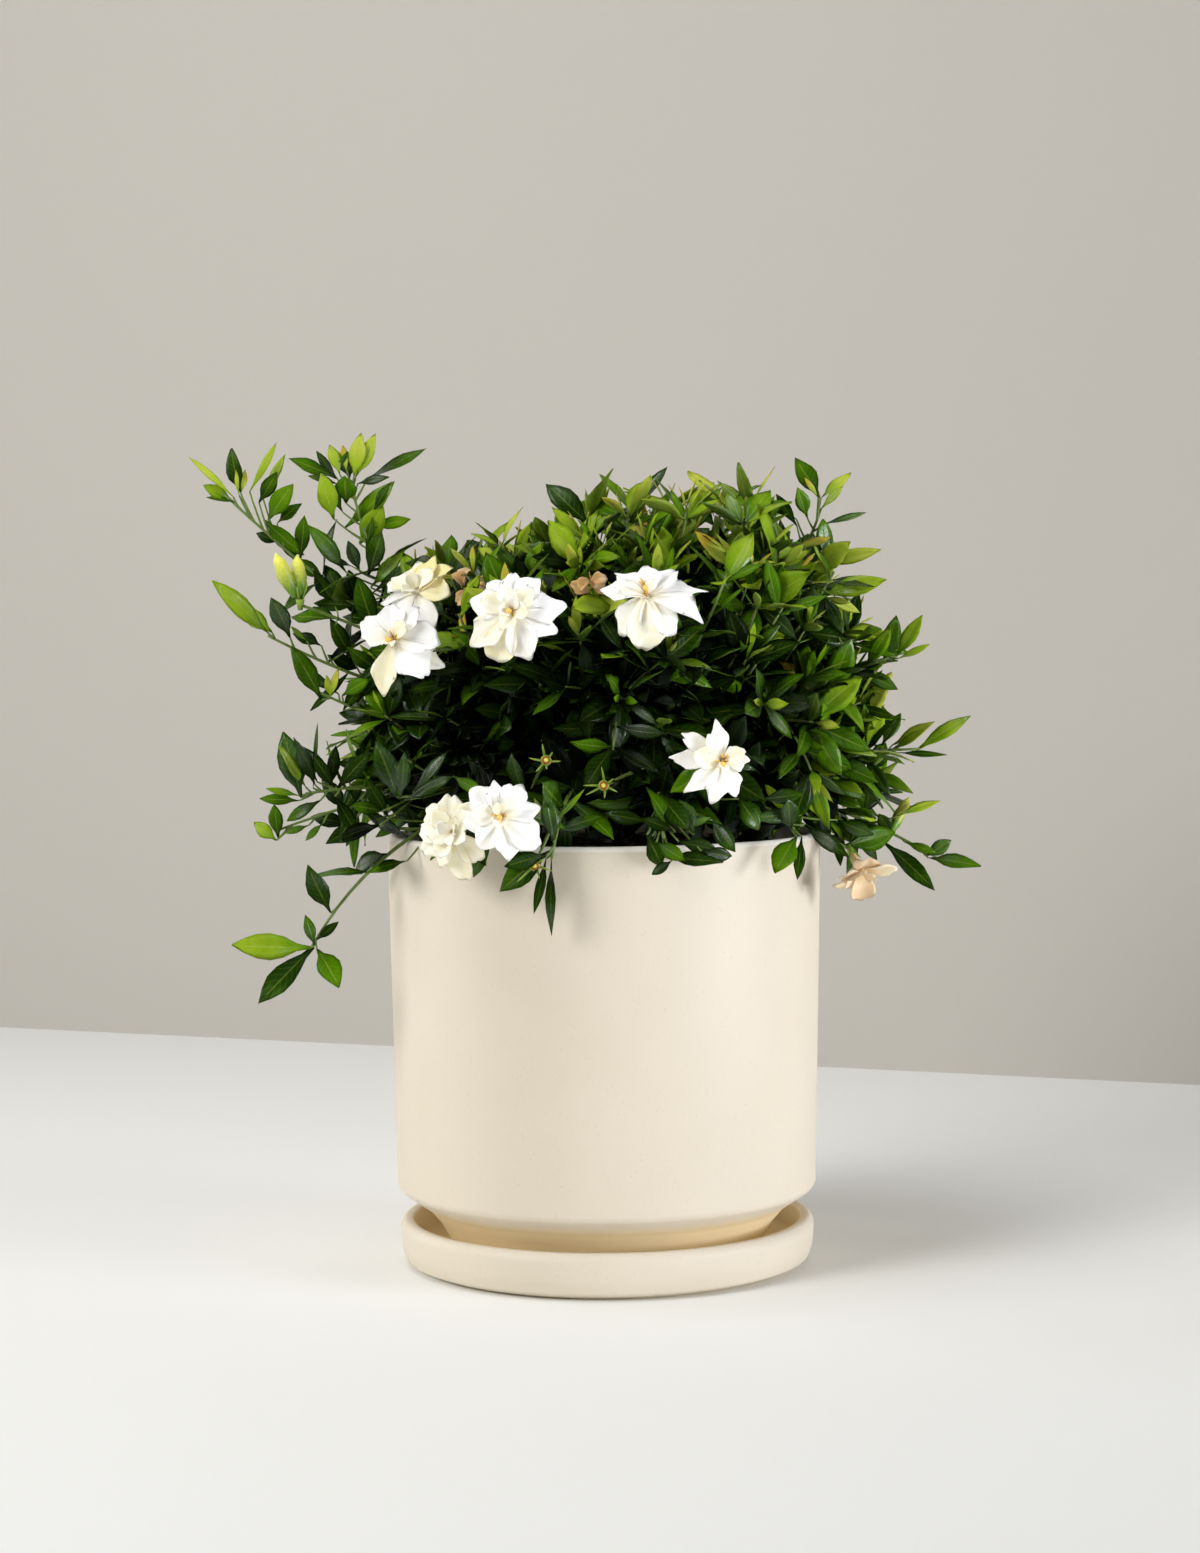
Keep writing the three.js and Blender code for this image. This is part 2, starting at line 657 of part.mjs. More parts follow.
const gardenia = new THREE.Group();
gardenia.add(part("saucer", take("saucer", solid(saucer())), CREAM_GLAZE));
gardenia.add(part("pot", take("pot", solid(pot())), CREAM_GLAZE));
gardenia.add(part("soil", take("soil", soil()), BARK_MIX));

const core = take("inner_foliage", solid(coreShape(0)));
const heartRoom = solid(coreShape(GAP * 1.5));
const shoots = shootPlan();
gardenia.add(part("trunk", take("trunk", trunk(heartRoom)), WOOD));

for (const [i, one] of BLOOMS.entries())
  gardenia.add(part(one.name, bloom(one, 101 + i), one.faded ? PETAL_FADED : PETAL_WHITE));
for (const one of BLOOMS.filter(({ name }) => WITH_STIGMA.includes(name)))
  gardenia.add(part(one.name + "_stigma", stigma(one), STIGMA_YELLOW));
const buds = wasm.Manifold.union(BUDS.tips.map((tip) => bud(at(BUDS.place), at(tip))));
gardenia.add(part(BUDS.name, take(BUDS.name, buds), BUD_GREEN));

// All stems come first, so that the leaves make way for them.
const grown = shoots.map((shoot, i) => {
  const green = stems(shoot, 501 + i * 10);
  const pieces = green.map(({ body }) => body);
  if (shoot.cup) pieces.push(take(shoot.name, cup(shoot.cup, shoot.front)));
  if (shoot.bud) pieces.push(take(shoot.name, bud(onStem(green[0], 0.8), at(shoot.bud))));
  if (shoot.spent) pieces.push(spentCalyx(shoot.name, green[0], at(shoot.spent)));
  return { shoot, green, pieces };
});
for (const { shoot, green, pieces } of grown) {
  for (const stem of green) {
    const [pairs, tuft] = stem.main ? [shoot.pairs, shoot.tuft] : [0, BOUGH.twigTuft];
    const outline = shoot.inner ? INNER_OUTLINE : LEAF_OUTLINE;
    pieces.push(...leaves(shoot.name, stem, leafPlan(pairs, tuft, shoot.leaf, outline, stem.seed)));
  }
  gardenia.add(part(shoot.name, wasm.Manifold.union(pieces), LEAF_GREEN));
}

gardenia.add(part("inner_foliage", heart(core), LEAF_GREEN));

export default gardenia;
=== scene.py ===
"""A potted gardenia: a dwarf bush in flower, in a satin-glazed cylinder pot that stands in its saucer.

Shapes are worked out in millimetres, +Z up and the front towards -Y, and turned to metres as each piece is finished.
"""
from math import asin, atan2, cos, degrees, exp, hypot, pi, radians, sin, sqrt

import bmesh
import bpy
from mathutils import Matrix, Vector


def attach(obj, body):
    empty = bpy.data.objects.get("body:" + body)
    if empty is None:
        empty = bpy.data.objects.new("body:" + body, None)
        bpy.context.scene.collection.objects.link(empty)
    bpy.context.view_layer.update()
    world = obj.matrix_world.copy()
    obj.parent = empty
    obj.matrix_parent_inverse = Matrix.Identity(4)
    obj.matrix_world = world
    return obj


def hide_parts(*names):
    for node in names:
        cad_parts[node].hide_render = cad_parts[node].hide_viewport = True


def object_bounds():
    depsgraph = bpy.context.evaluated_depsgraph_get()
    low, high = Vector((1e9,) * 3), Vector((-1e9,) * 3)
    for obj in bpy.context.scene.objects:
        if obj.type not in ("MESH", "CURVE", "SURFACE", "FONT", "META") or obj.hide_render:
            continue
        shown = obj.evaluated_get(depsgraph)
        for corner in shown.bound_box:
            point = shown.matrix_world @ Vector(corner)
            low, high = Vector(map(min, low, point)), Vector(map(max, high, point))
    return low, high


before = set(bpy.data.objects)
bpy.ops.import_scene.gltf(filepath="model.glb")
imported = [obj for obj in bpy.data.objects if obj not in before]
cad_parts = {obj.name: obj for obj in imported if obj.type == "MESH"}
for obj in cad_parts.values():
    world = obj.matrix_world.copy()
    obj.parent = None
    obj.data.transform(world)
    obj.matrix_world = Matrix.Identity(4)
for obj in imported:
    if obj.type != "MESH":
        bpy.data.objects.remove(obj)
cad_low, cad_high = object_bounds()
scene = bpy.context.scene

# ---------------------------------------------------------------- measures

MM = 0.001
TURN = 2 * pi
RIGHT, BACK, UP = Vector((1, 0, 0)), Vector((0, 1, 0)), Vector((0, 0, 1))
LATHE_STEPS = 96

SAUCER = {"radius": 120, "height": 27, "wall": 9, "floor": 8, "foot": 108}
POT = {"rim": 125, "base": 121.3, "base_z": 45, "rim_z": 249, "wall": 7, "foot": 88, "floor": 13, "drain": 9}
SOIL = {"level": 239, "mound": 4, "chips": 420, "chip": 7}
TRUNK = {"radius": 6.5, "bottom": 205, "crown": 250, "limb": 3.2, "spread": 46}
STEM = {"root": 1.2, "tip": 0.8, "twig": 0.8}
LEAF = {"slim": 0.33, "roll": 90, "curl": 0.26, "thick": 0.3, "petiole": 0.1, "sprig": 36}
BLOOM = {"petal": 26, "tube": 9.5, "thick": 0.45, "grown": 1.02, "broad": 1.14}
STAMENS, SEPALS = 6, 6
CALYX = {"cup": 6, "sepal": 12}
BUSH = {"centre": (6, 0, 316), "reach": (138, 128, 124), "light": (-0.2, -0.65, 0.73)}
HEART = {"centre": (2, 0, 300), "reach": (96, 88, 88), "belly": 42, "rough": 0.1}
CROWN = {"shoots": 300, "pieces": 5, "pairs": 2, "tuft": 4, "leaf": 33}
SHOULDERS = {"corner": 3.0, "skirt": 0.1, "right": 0.05, "low": 345, "high": 415, "rise": 14, "dip": 15}
FILL = {"shoots": 170, "pairs": 2, "tuft": 4, "leaf": 34}
SPIRAL = {"shoots": 137.508, "petals": 137.5, "twigs": 137.5}

# ---------------------------------------------------------------- small tools


def seeded(seed):
    """A draw between 0 and 1, the same on every run."""
    state = [seed]

    def draw():
        state[0] = state[0] * 16807 % 2147483647
        return state[0] / 2147483647

    return draw


def polar(along, across, angle):
    """The direction so many degrees away from one direction, towards another."""
    return along * cos(radians(angle)) + across * sin(radians(angle))


def twisted(side, up, turn):
    """Two directions turned together, in radians."""
    return side * cos(turn) + up * sin(turn), up * cos(turn) - side * sin(turn)


def frame_of(tangent):
    """The level and the upright direction across a tangent."""
    level = tangent.cross(RIGHT if abs(tangent.z) > 0.95 else UP).normalized()
    return level, level.cross(tangent).normalized()


def around(tangent, azimuth):
    """The direction at an azimuth round a tangent; 90 degrees is as upright as it can be."""
    level, upright = frame_of(tangent)
    return polar(level, upright, azimuth)


def bezier(root, tip, bow):
    """The curve of a stem and its direction, both by the share of its length."""
    middle = (root + tip) / 2 + bow * 2

    def point(t):
        return root * (1 - t) ** 2 + middle * (2 * t * (1 - t)) + tip * t * t

    def heading(t):
        return ((middle - root) * (1 - t) + (tip - middle) * t).normalized()

    return point, heading


def smooth(low, high, x):
    """0 up to low and 1 from high on, with an even rise between them."""
    share = min(1, max(0, (x - low) / (high - low)))
    return share * share * (3 - 2 * share)


def scaled(vector, sizes):
    return Vector(a * b for a, b in zip(vector, sizes))


# ---------------------------------------------------------------- blanks: small meshes that each shape starts from


def keep_blank(bm, name):
    for layer in ("tone", "share"):
        bm.verts.layers.float.get(layer) or bm.verts.layers.float.new(layer)
    for face in bm.faces:
        face.smooth = True
    mesh = bpy.data.meshes.new(name)
    bm.to_mesh(mesh)
    bm.free()
    return mesh


def skin_blank(name, across, along):
    """Two skins that meet at their rim: x is -1 to 1 across, y is 0 to 1 along, and z is 1 on the upper skin."""
    bm = bmesh.new()
    bm.loops.layers.uv.new("lie")
    bmesh.ops.create_grid(bm, x_segments=across, y_segments=along, size=1, calc_uvs=True)
    bmesh.ops.translate(bm, vec=(0, 1, 0), verts=bm.verts)
    bmesh.ops.scale(bm, vec=(1, 0.5, 1), verts=bm.verts)
    inner = [vert for vert in bm.verts if not vert.is_boundary]
    copied = bmesh.ops.duplicate(bm, geom=bm.faces[:])
    for vert in inner:
        vert.co.z = 1
    under = [item for item in copied["geom"] if isinstance(item, bmesh.types.BMFace)]
    for face in under:
        face.material_index = 1
    for vert in {vert for face in under for vert in face.verts if not vert.is_boundary}:
        vert.co.z = -1
    bmesh.ops.reverse_faces(bm, faces=under)
    bmesh.ops.remove_doubles(bm, verts=bm.verts, dist=1e-4)
    return keep_blank(bm, name)


def tube_blank(name, sides, rings):
    """A closed tube of radius 1 from z 0 to 1."""
    bm = bmesh.new()
    bmesh.ops.create_cone(bm, cap_ends=True, segments=sides, radius1=1, radius2=1, depth=1)
    bmesh.ops.translate(bm, vec=(0, 0, 0.5), verts=bm.verts)
    uprights = [edge for edge in bm.edges if abs(edge.verts[0].co.z - edge.verts[1].co.z) > 0.5]
    bmesh.ops.subdivide_edges(bm, edges=uprights, cuts=rings - 1)
    return keep_blank(bm, name)


def ball_blank(name, detail):
    bm = bmesh.new()
    bmesh.ops.create_icosphere(bm, subdivisions=detail, radius=1)
    return keep_blank(bm, name)


LEAF_BLANK = skin_blank("leaf_blank", 4, 6)
PETAL_BLANK = skin_blank("petal_blank", 12, 10)
TWIG_BLANK = tube_blank("twig_blank", 6, 6)
STALK_BLANK = tube_blank("stalk_blank", 10, 12)
CHIP_BLANK = ball_blank("chip_blank", 1)


def lay(bm, blank, place, tone=0.5, material=0):
    """Adds a blank, each of its points where place says; they keep a tone and their share of the length."""
    points, faces = len(bm.verts), len(bm.faces)
    bm.from_mesh(blank)
    bm.verts.ensure_lookup_table()
    bm.faces.ensure_lookup_table()
    tones, shares = bm.verts.layers.float["tone"], bm.verts.layers.float["share"]
    along = 2 if blank in (TWIG_BLANK, STALK_BLANK) else 1
    for vert in bm.verts[points:]:
        vert[tones] = tone
        vert[shares] = vert.co[along]
        vert.co = place(vert.co)
    if material:
        for face in bm.faces[faces:]:
            face.material_index += material


def new_bmesh():
    bm = bmesh.new()
    bm.loops.layers.uv.new("lie")
    for layer in ("tone", "share"):
        bm.verts.layers.float.new(layer)
    return bm


def piece(name, bm, materials, slot, stands_for=()):
    """Finishes a mesh as a piece of the plant or pot, in metres, with its place in its mesh."""
    bmesh.ops.scale(bm, vec=(MM, MM, MM), verts=bm.verts)
    mesh = bpy.data.meshes.new(name)
    bm.to_mesh(mesh)
    bm.free()
    for material in materials:
        mesh.materials.append(material)
    made = bpy.data.objects.new(name, mesh)
    scene.collection.objects.link(made)
    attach(made, "root")
    if stands_for:
        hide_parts(*stands_for)
    return made


# ---------------------------------------------------------------- materials


def linear(code):
    """An sRGB hex colour as linear numbers."""
    parts = [int(code[i : i + 2], 16) / 255 for i in (1, 3, 5)]
    return (*[c / 12.92 if c <= 0.04045 else ((c + 0.055) / 1.055) ** 2.4 for c in parts], 1.0)


def put(tree, kind, inputs=None, stops=None, **settings):
    """Adds a node with its settings; an input is a number, a hex colour or another node's output."""
    made = tree.nodes.new(kind)
    for key, value in settings.items():
        setattr(made, key, value)
    for key, value in (inputs or {}).items():
        socket = made.inputs[key]
        if isinstance(value, bpy.types.NodeSocket):
            tree.links.new(value, socket)
        else:
            socket.default_value = linear(value) if isinstance(value, str) else value
    if stops:
        elements = made.color_ramp.elements
        for position, _ in stops[1:-1]:
            elements.new(position)
        for element, (position, colour) in zip(elements, stops):
            element.position = position
            element.color = linear(colour)
    return made


def sums(tree, operation, *values, **settings):
    """The outcome of one sum."""
    return put(tree, "ShaderNodeMath", dict(enumerate(values)), operation=operation, **settings).outputs[0]


def spread_out(tree, value, low, high, to_low=0.0, to_high=1.0):
    """A value brought from one range to another, and held within it."""
    ends = {"From Min": low, "From Max": high, "To Min": to_low, "To Max": to_high}
    return put(tree, "ShaderNodeMapRange", {"Value": value, **ends}).outputs["Result"]


def noise(tree, where, apart, detail, **more):
    """Soft lumps, some millimetres apart."""
    scale = 1 / (apart * MM)
    return put(tree, "ShaderNodeTexNoise", {"Vector": where, "Scale": scale, "Detail": detail, **more}).outputs["Fac"]


def ramp(tree, value, stops):
    return put(tree, "ShaderNodeValToRGB", {"Fac": value}, stops).outputs["Color"]


def blend(tree, share, first, second, how="MIX"):
    """The first colour, with a share of the second."""
    return put(tree, "ShaderNodeMix", {0: share, 6: first, 7: second}, data_type="RGBA", blend_type=how).outputs[2]


def relief(tree, height, depth, strength, invert=False, **inputs):
    """The normal of a surface that is so many millimetres deep."""
    inputs = {"Height": height, "Distance": depth * MM, "Strength": strength, **inputs}
    return put(tree, "ShaderNodeBump", inputs, invert=invert).outputs[0]


def start(name):
    """A new material, its tree, and where its piece's points are."""
    material = bpy.data.materials.new(name)
    material.use_nodes = True
    tree = material.node_tree
    tree.nodes.clear()
    return material, tree, put(tree, "ShaderNodeTexCoord").outputs["Object"]


def kept(tree, name):
    """A value that the piece's points keep: their tone, or their share of the length."""
    return put(tree, "ShaderNodeAttribute", attribute_name=name).outputs["Fac"]


def across_and_along(tree):
    """Where a point is on its leaf or petal: the place, its share of the width and its share of the length."""
    lie = put(tree, "ShaderNodeUVMap", uv_map="lie").outputs["UV"]
    axes = put(tree, "ShaderNodeSeparateXYZ", {0: lie}).outputs
    return lie, axes["X"], axes["Y"]


def skin(tree, colour, rough, normal, **more):
    """The light that a surface sends back."""
    inputs = {"Base Color": colour, "Roughness": rough, "Normal": normal, **more}
    return put(tree, "ShaderNodeBsdfPrincipled", inputs).outputs[0]


def close(tree, shader):
    put(tree, "ShaderNodeOutputMaterial", {"Surface": shader})


def glazed_stoneware():
    """Stoneware under a satin cream glaze: soft broad highlights, hardly any grain, a faint unevenness."""
    material, tree, where = start("satin_glazed_stoneware")
    # the glaze lies thicker and thinner over some 60 mm
    cloud = noise(tree, where, 60, 3.0)
    # pinholes and iron specks of about half a millimetre are drawn 1.5 mm apart
    speck = noise(tree, where, 1.5, 2.0)
    cream = ramp(tree, cloud, [(0.3, "#d9ceba"), (0.7, "#dcd1be")])
    dust = ramp(tree, speck, [(0.24, "#cfb894"), (0.36, "#ffffff")])
    colour = blend(tree, 0.22, cream, dust, "MULTIPLY")
    # where the pot narrows to its foot, its underside is painted lighter and warmer: painted bounce light from the
    # saucer
    axes = put(tree, "ShaderNodeSeparateXYZ", {0: where}).outputs
    flat = put(tree, "ShaderNodeCombineXYZ", {"X": axes["X"], "Y": axes["Y"]}).outputs[0]
    reach = put(tree, "ShaderNodeVectorMath", {0: flat}, operation="LENGTH").outputs["Value"]
    within = spread_out(tree, reach, (SAUCER["foot"] - 3) * MM, (SAUCER["foot"] + 6) * MM, 1.0, 0.0)
    below = spread_out(tree, axes["Z"], (POT["base_z"] - 7) * MM, (POT["base_z"] + 1) * MM, 1.0, 0.0)
    colour = blend(tree, sums(tree, "MULTIPLY", within, below), colour, "#f8e4b8")
    # a painted highlight along the lip of the pot: it is paler over its last 3 mm
    painted_lip_highlight = spread_out(tree, axes["Z"], (POT["rim_z"] - 3.4) * MM, (POT["rim_z"] - 2.2) * MM, 0.0, 0.75)
    colour = blend(tree, painted_lip_highlight, colour, "#fbf6ea")
    uneven = relief(tree, cloud, 0.08, 0.4)
    grain = relief(tree, speck, 0.03, 0.5, Normal=uneven)
    rough = spread_out(tree, cloud, 0, 1, 0.46, 0.52)
    close(tree, skin(tree, colour, rough, grain, **{"IOR": 1.5, "Specular IOR Level": 0.36}))
    return material


def bark_mix():
    """Composted pine bark: brown to nearly black chips, dull, with a fibrous grain."""
    material, tree, where = start("composted_pine_bark")
    # bark fibres about 0.8 mm apart
    fibre = noise(tree, where, 0.8, 4.0, Roughness=0.7)
    mixed = sums(tree, "MULTIPLY", kept(tree, "tone"), fibre)
    colour = ramp(tree, mixed, [(0.0, "#17100c"), (0.3, "#3a281c"), (0.7, "#7a5439")])
    close(tree, skin(tree, colour, 0.92, relief(tree, fibre, 0.5, 1.0)))
    return material


def stem_skin(name, young, old, grain_mm):
    """The skin of a stem: green and smooth while young, grey-brown and fissured as wood."""
    material, tree, where = start(name)
    grain = noise(tree, where, grain_mm, 3.0)
    colour = blend(tree, grain, ramp(tree, kept(tree, "tone"), [(0.15, old), (0.7, young)]), old)
    close(tree, skin(tree, colour, 0.55, relief(tree, grain, 0.25, 0.7)))
    return material


def leaf_skin(name, greens, vein, rough, through, shine):
    """A gardenia leaf: a waxy cuticle, a pale midrib, and side veins pressed into it about 3 mm apart."""
    material, tree, where = start(name)
    _, across, along = across_and_along(tree)
    # how far from the midrib, 0 to 0.5
    side = sums(tree, "ABSOLUTE", sums(tree, "SUBTRACT", across, 0.5))
    midrib = spread_out(tree, side, 0.012, 0.055, 1.0, 0.0)
    # nine pairs of side veins on a leaf of 35 mm, slanting towards its tip
    slant = sums(tree, "MULTIPLY_ADD", side, -0.36, along)
    ridge = sums(tree, "SINE", sums(tree, "MULTIPLY", slant, 9 * TURN))
    lines = sums(tree, "MULTIPLY_ADD", spread_out(tree, ridge, 0.72, 1.0), 0.3, midrib)
    # the green is uneven over some 9 mm, and painted darker towards the leaf's stalk as shade, where it sits deep
    # among the others
    cloud = noise(tree, where, 9, 2.0)
    deep = sums(tree, "ADD", kept(tree, "tone"), spread_out(tree, along, 0, 0.7, -0.16, 0.02))
    shade = sums(tree, "MULTIPLY_ADD", sums(tree, "SUBTRACT", cloud, 0.5), 0.16, deep)
    green = ramp(tree, shade, greens)
    # here and there, over some 30 mm, leaves are tinted blue-grey as a painted sheen, or are polished and catch the
    # light
    patch = noise(tree, where, 30, 1.0)
    green = blend(tree, spread_out(tree, patch, 0.56, 0.74, 0.0, 0.24), green, "#47643f")
    polish = spread_out(tree, patch, 0.5, 0.66, shine, shine * 12)
    # on dark leaves, the old ones and those painted in shade, the veins are as dark as the blade
    drawn = sums(tree, "MULTIPLY", lines, spread_out(tree, shade, 0, 1, 0.02, 0.56), use_clamp=True)
    colour = blend(tree, drawn, green, vein)
    normal = relief(tree, lines, 0.25, 0.6, invert=True)
    gloss = spread_out(tree, cloud, 0, 1, rough - 0.1, rough + 0.1)
    face = skin(tree, colour, gloss, normal, **{"IOR": 1.45, "Specular IOR Level": polish})
    lit = put(tree, "ShaderNodeBsdfTranslucent", {"Color": colour, "Normal": normal}).outputs[0]
    close(tree, put(tree, "ShaderNodeMixShader", {0: through, 1: face, 2: lit}).outputs[0])
    return material


def petal_skin(name, fresh, aged, throat, painted_glow_strength):
    """A gardenia petal: thick and matt like kid leather, lit by a faint painted light of its own, faintly lined, with
    a cream claw.
    """
    material, tree, where = start(name)
    lie, _, along = across_and_along(tree)
    # creamy blotches about 7 mm apart, more of them with age
    aging = sums(tree, "MULTIPLY", noise(tree, where, 7, 3.0), kept(tree, "tone"))
    # fine lines along the petal, about 1.2 mm apart
    stretch = put(tree, "ShaderNodeMapping", {"Vector": lie, "Scale": (14.0, 1.2, 1.0)}).outputs[0]
    lines = put(tree, "ShaderNodeTexNoise", {"Vector": stretch, "Scale": 1.0, "Detail": 2.0}).outputs["Fac"]
    colour = ramp(tree, aging, [(0.02, fresh), (0.5, aged)])
    colour = blend(tree, spread_out(tree, along, 0.02, 0.4, 0.55, 0.0), colour, throat)
    # the petal is painted with a faint light of its own, which lifts its shaded parts
    with_painted_glow = {"IOR": 1.4, "Sheen Weight": 0.15, "Emission Color": "#fff4dc", "Emission Strength": painted_glow_strength}
    face = skin(tree, colour, 0.55, relief(tree, lines, 0.5, 0.5), **with_painted_glow)
    lit = put(tree, "ShaderNodeBsdfTranslucent", {"Color": colour}).outputs[0]
    close(tree, put(tree, "ShaderNodeMixShader", {0: 0.16, 1: face, 2: lit}).outputs[0])
    return material


def shaded_skin(name, low, high, rough, grain_mm, depth_mm):
    """Plant skin that changes colour from its base to its tip, with a fine grain."""
    material, tree, where = start(name)
    grain = noise(tree, where, grain_mm, 2.0)
    mixed = sums(tree, "MULTIPLY_ADD", grain, 0.35, kept(tree, "share"))
    colour = ramp(tree, mixed, [(0.35, low), (1.0, high)])
    close(tree, skin(tree, colour, rough, relief(tree, grain, depth_mm, 0.6)))
    return material


STONEWARE = glazed_stoneware()
PINE_BARK = bark_mix()
WOOD = stem_skin("gardenia_wood", "#7c6a4a", "#4b3a28", 2.0)
GREEN_STEM = stem_skin("green_gardenia_stem", "#6f8f34", "#4b4f24", 3.0)
# the greens of leaves from the oldest and darkest, also used for leaves painted in shade, to the youngest, and to the
# few that yellow
AGES = (0.0, 0.3, 0.55, 0.78, 0.92, 1.0)
TOP_GREENS = list(zip(AGES, ("#040a01", "#1f3c02", "#548205", "#9ab524", "#bfc94a", "#d08a1c")))
UNDER_GREENS = list(zip(AGES, ("#1e2d0a", "#466018", "#6c8824", "#99ae38", "#c5ce48", "#d69a3c")))
SHADED_GREENS = [(0.0, "#040902"), (0.5, "#162a05"), (1.0, "#50701a")]
LEAF_TOP = leaf_skin("waxy_leaf_top", TOP_GREENS, "#a9bd4a", 0.27, 0.14, 0.05)
LEAF_UNDER = leaf_skin("matt_leaf_underside", UNDER_GREENS, "#afc46c", 0.5, 0.2, 0.05)
SHADED_LEAF = leaf_skin("dull_shaded_leaf", SHADED_GREENS, "#4f6a22", 0.6, 0.05, 0.03)
PETAL = petal_skin("fresh_petal", "#ffffff", "#f5eba6", "#f7edc4", 0.07)
FADED = petal_skin("fading_petal", "#fff0cf", "#cfa05a", "#ecc676", 0.04)
STIGMA = shaded_skin("pollen_yellow_stigma", "#c08a34", "#f0c862", 0.6, 0.6, 0.2)
BUD = shaded_skin("furled_bud_skin", "#5c8410", "#e4e25a", 0.4, 1.5, 0.15)
CALYX_GREEN = shaded_skin("calyx_green", "#5f7d1e", "#93ab3a", 0.5, 1.2, 0.15)
SCAR = shaded_skin("corky_scar", "#6e3a14", "#9c5a24", 0.85, 0.8, 0.3)
# a blank of two skins uses a material and the next; these are the places of the others in the list
GREENS = (LEAF_TOP, LEAF_UNDER, GREEN_STEM, GREEN_STEM, CALYX_GREEN, CALYX_GREEN, SCAR, BUD)
ON_STEM, ON_CALYX, ON_SCAR, ON_BUD = 2, 4, 6, 7

# ---------------------------------------------------------------- pot, saucer, soil, trunk


def spun(profile, steps):
    """A body turned from (radius, height) pairs."""
    bm = bmesh.new()
    verts = [bm.verts.new((radius, 0, height)) for radius, height in profile]
    edges = [bm.edges.new(pair) for pair in zip(verts, verts[1:])]
    bmesh.ops.spin(bm, geom=verts + edges, cent=(0, 0, 0), axis=(0, 0, 1), angle=TURN, steps=steps, use_merge=True)
    bmesh.ops.remove_doubles(bm, verts=bm.verts, dist=1e-3)
    bmesh.ops.recalc_face_normals(bm, faces=bm.faces)
    return bm


def glazed(name, node, profile, rounding):
    """A glazed body with its edges rounded."""
    bm = spun(profile, LATHE_STEPS)
    for face in bm.faces:
        face.smooth = True
    made = piece(name, bm, (STONEWARE,), "cream_glaze", (node,))
    bevel = made.modifiers.new("rounded_edges", "BEVEL")
    bevel.width = rounding * MM
    bevel.segments = 3
    bevel.limit_method = "ANGLE"
    bevel.angle_limit = radians(14)


def saucer_profile():
    radius, height, wall, floor, foot = SAUCER.values()
    return [
        (0, 0),
        (foot, 0),
        (radius - 3, 3.5),
        (radius - 0.6, 11),
        (radius, height - 4),
        (radius - 2.5, height),
        (radius - wall + 1, height - 0.5),
        (radius - wall - 1.5, floor + 4),
        (radius - wall - 6, floor),
        (0, floor),
    ]


def pot_profile():
    foot_z = SAUCER["floor"] + 0.3
    base, rim, wall, foot = POT["base"], POT["rim"], POT["wall"], POT["foot"]
    base_z, rim_z, floor = POT["base_z"], POT["rim_z"], foot_z + POT["floor"]
    return [
        (POT["drain"], foot_z + 3),
        (foot - 10, foot_z + 3),
        (foot - 8, foot_z),
        (foot, foot_z),
        (foot + 9, 25),
        (base - 17, 33.5),
        (base - 1.8, base_z - 1.2),
        (base, base_z + 1.5),
        (rim, rim_z - 3),
        (rim - 2.2, rim_z),
        (rim - wall + 1.2, rim_z - 0.3),
        (base - wall, base_z + 8),
        (foot - 2, floor),
        (POT["drain"], floor),
        (POT["drain"], foot_z + 3),
    ]


def soil_piece():
    """A mound of bark mix in the pot, strewn with chips."""
    inner = POT["rim"] - POT["wall"] - 1
    level, mound = SOIL["level"], SOIL["mound"]
    bottom = SAUCER["floor"] + POT["floor"] + 1
    profile = [(0, bottom), (POT["foot"] - 3, bottom), (POT["base"] - POT["wall"] - 0.6, POT["base_z"] + 8.3)]
    for share in (0.997, 0.9, 0.75, 0.6, 0.45, 0.3, 0.15, 0):
        profile.append((inner * share, level + mound * (1 - share * share)))
    bm = spun(profile, LATHE_STEPS // 2)
    draw = seeded(71)
    for vert in bm.verts:
        if vert.co.z > level - 1 and hypot(vert.co.x, vert.co.y) < inner * 0.95:
            vert.co.z += (draw() - 0.5) * 2.4
    mound_blank = keep_blank(bm, "mound_blank")
    bm = new_bmesh()
    lay(bm, mound_blank, lambda co: co.copy(), 0.35)
    for _ in range(SOIL["chips"]):
        radius, azimuth = (inner - 6) * sqrt(0.03 + 0.97 * draw()), draw() * TURN
        height = level + mound * (1 - (radius / inner) ** 2) + draw() * 1.6
        middle = Vector((radius * cos(azimuth), radius * sin(azimuth), height))
        turn = Matrix.Rotation(draw() * TURN, 3, "Z") @ Matrix.Rotation((draw() - 0.5) * 0.9, 3, "X")
        long = SOIL["chip"] * (0.35 + 0.5 * draw())
        size = Vector((long, long * (0.4 + 0.3 * draw()), 0.9 + draw()))
        lay(bm, CHIP_BLANK, lambda co: middle + turn @ scaled(co, size), 0.35 + 0.65 * draw())
    for face in bm.faces:
        face.smooth = False
    piece("bark_mix_fill", bm, (PINE_BARK,), "bark_mix", ("soil",))


def tube(bm, blank, curve, heading, root_radius, tip_radius, tone, material, swell=None):
    """A tapering round stem along a curve."""

    def place(co):
        level, upright = frame_of(heading(co.z))
        radius = root_radius + (tip_radius - root_radius) * co.z
        if swell:
            radius *= swell(co)
        return curve(co.z) + (upright * co.x + level * co.y) * radius

    lay(bm, blank, place, tone, material)


def straight(root, tip):
    return bezier(root, tip, Vector())


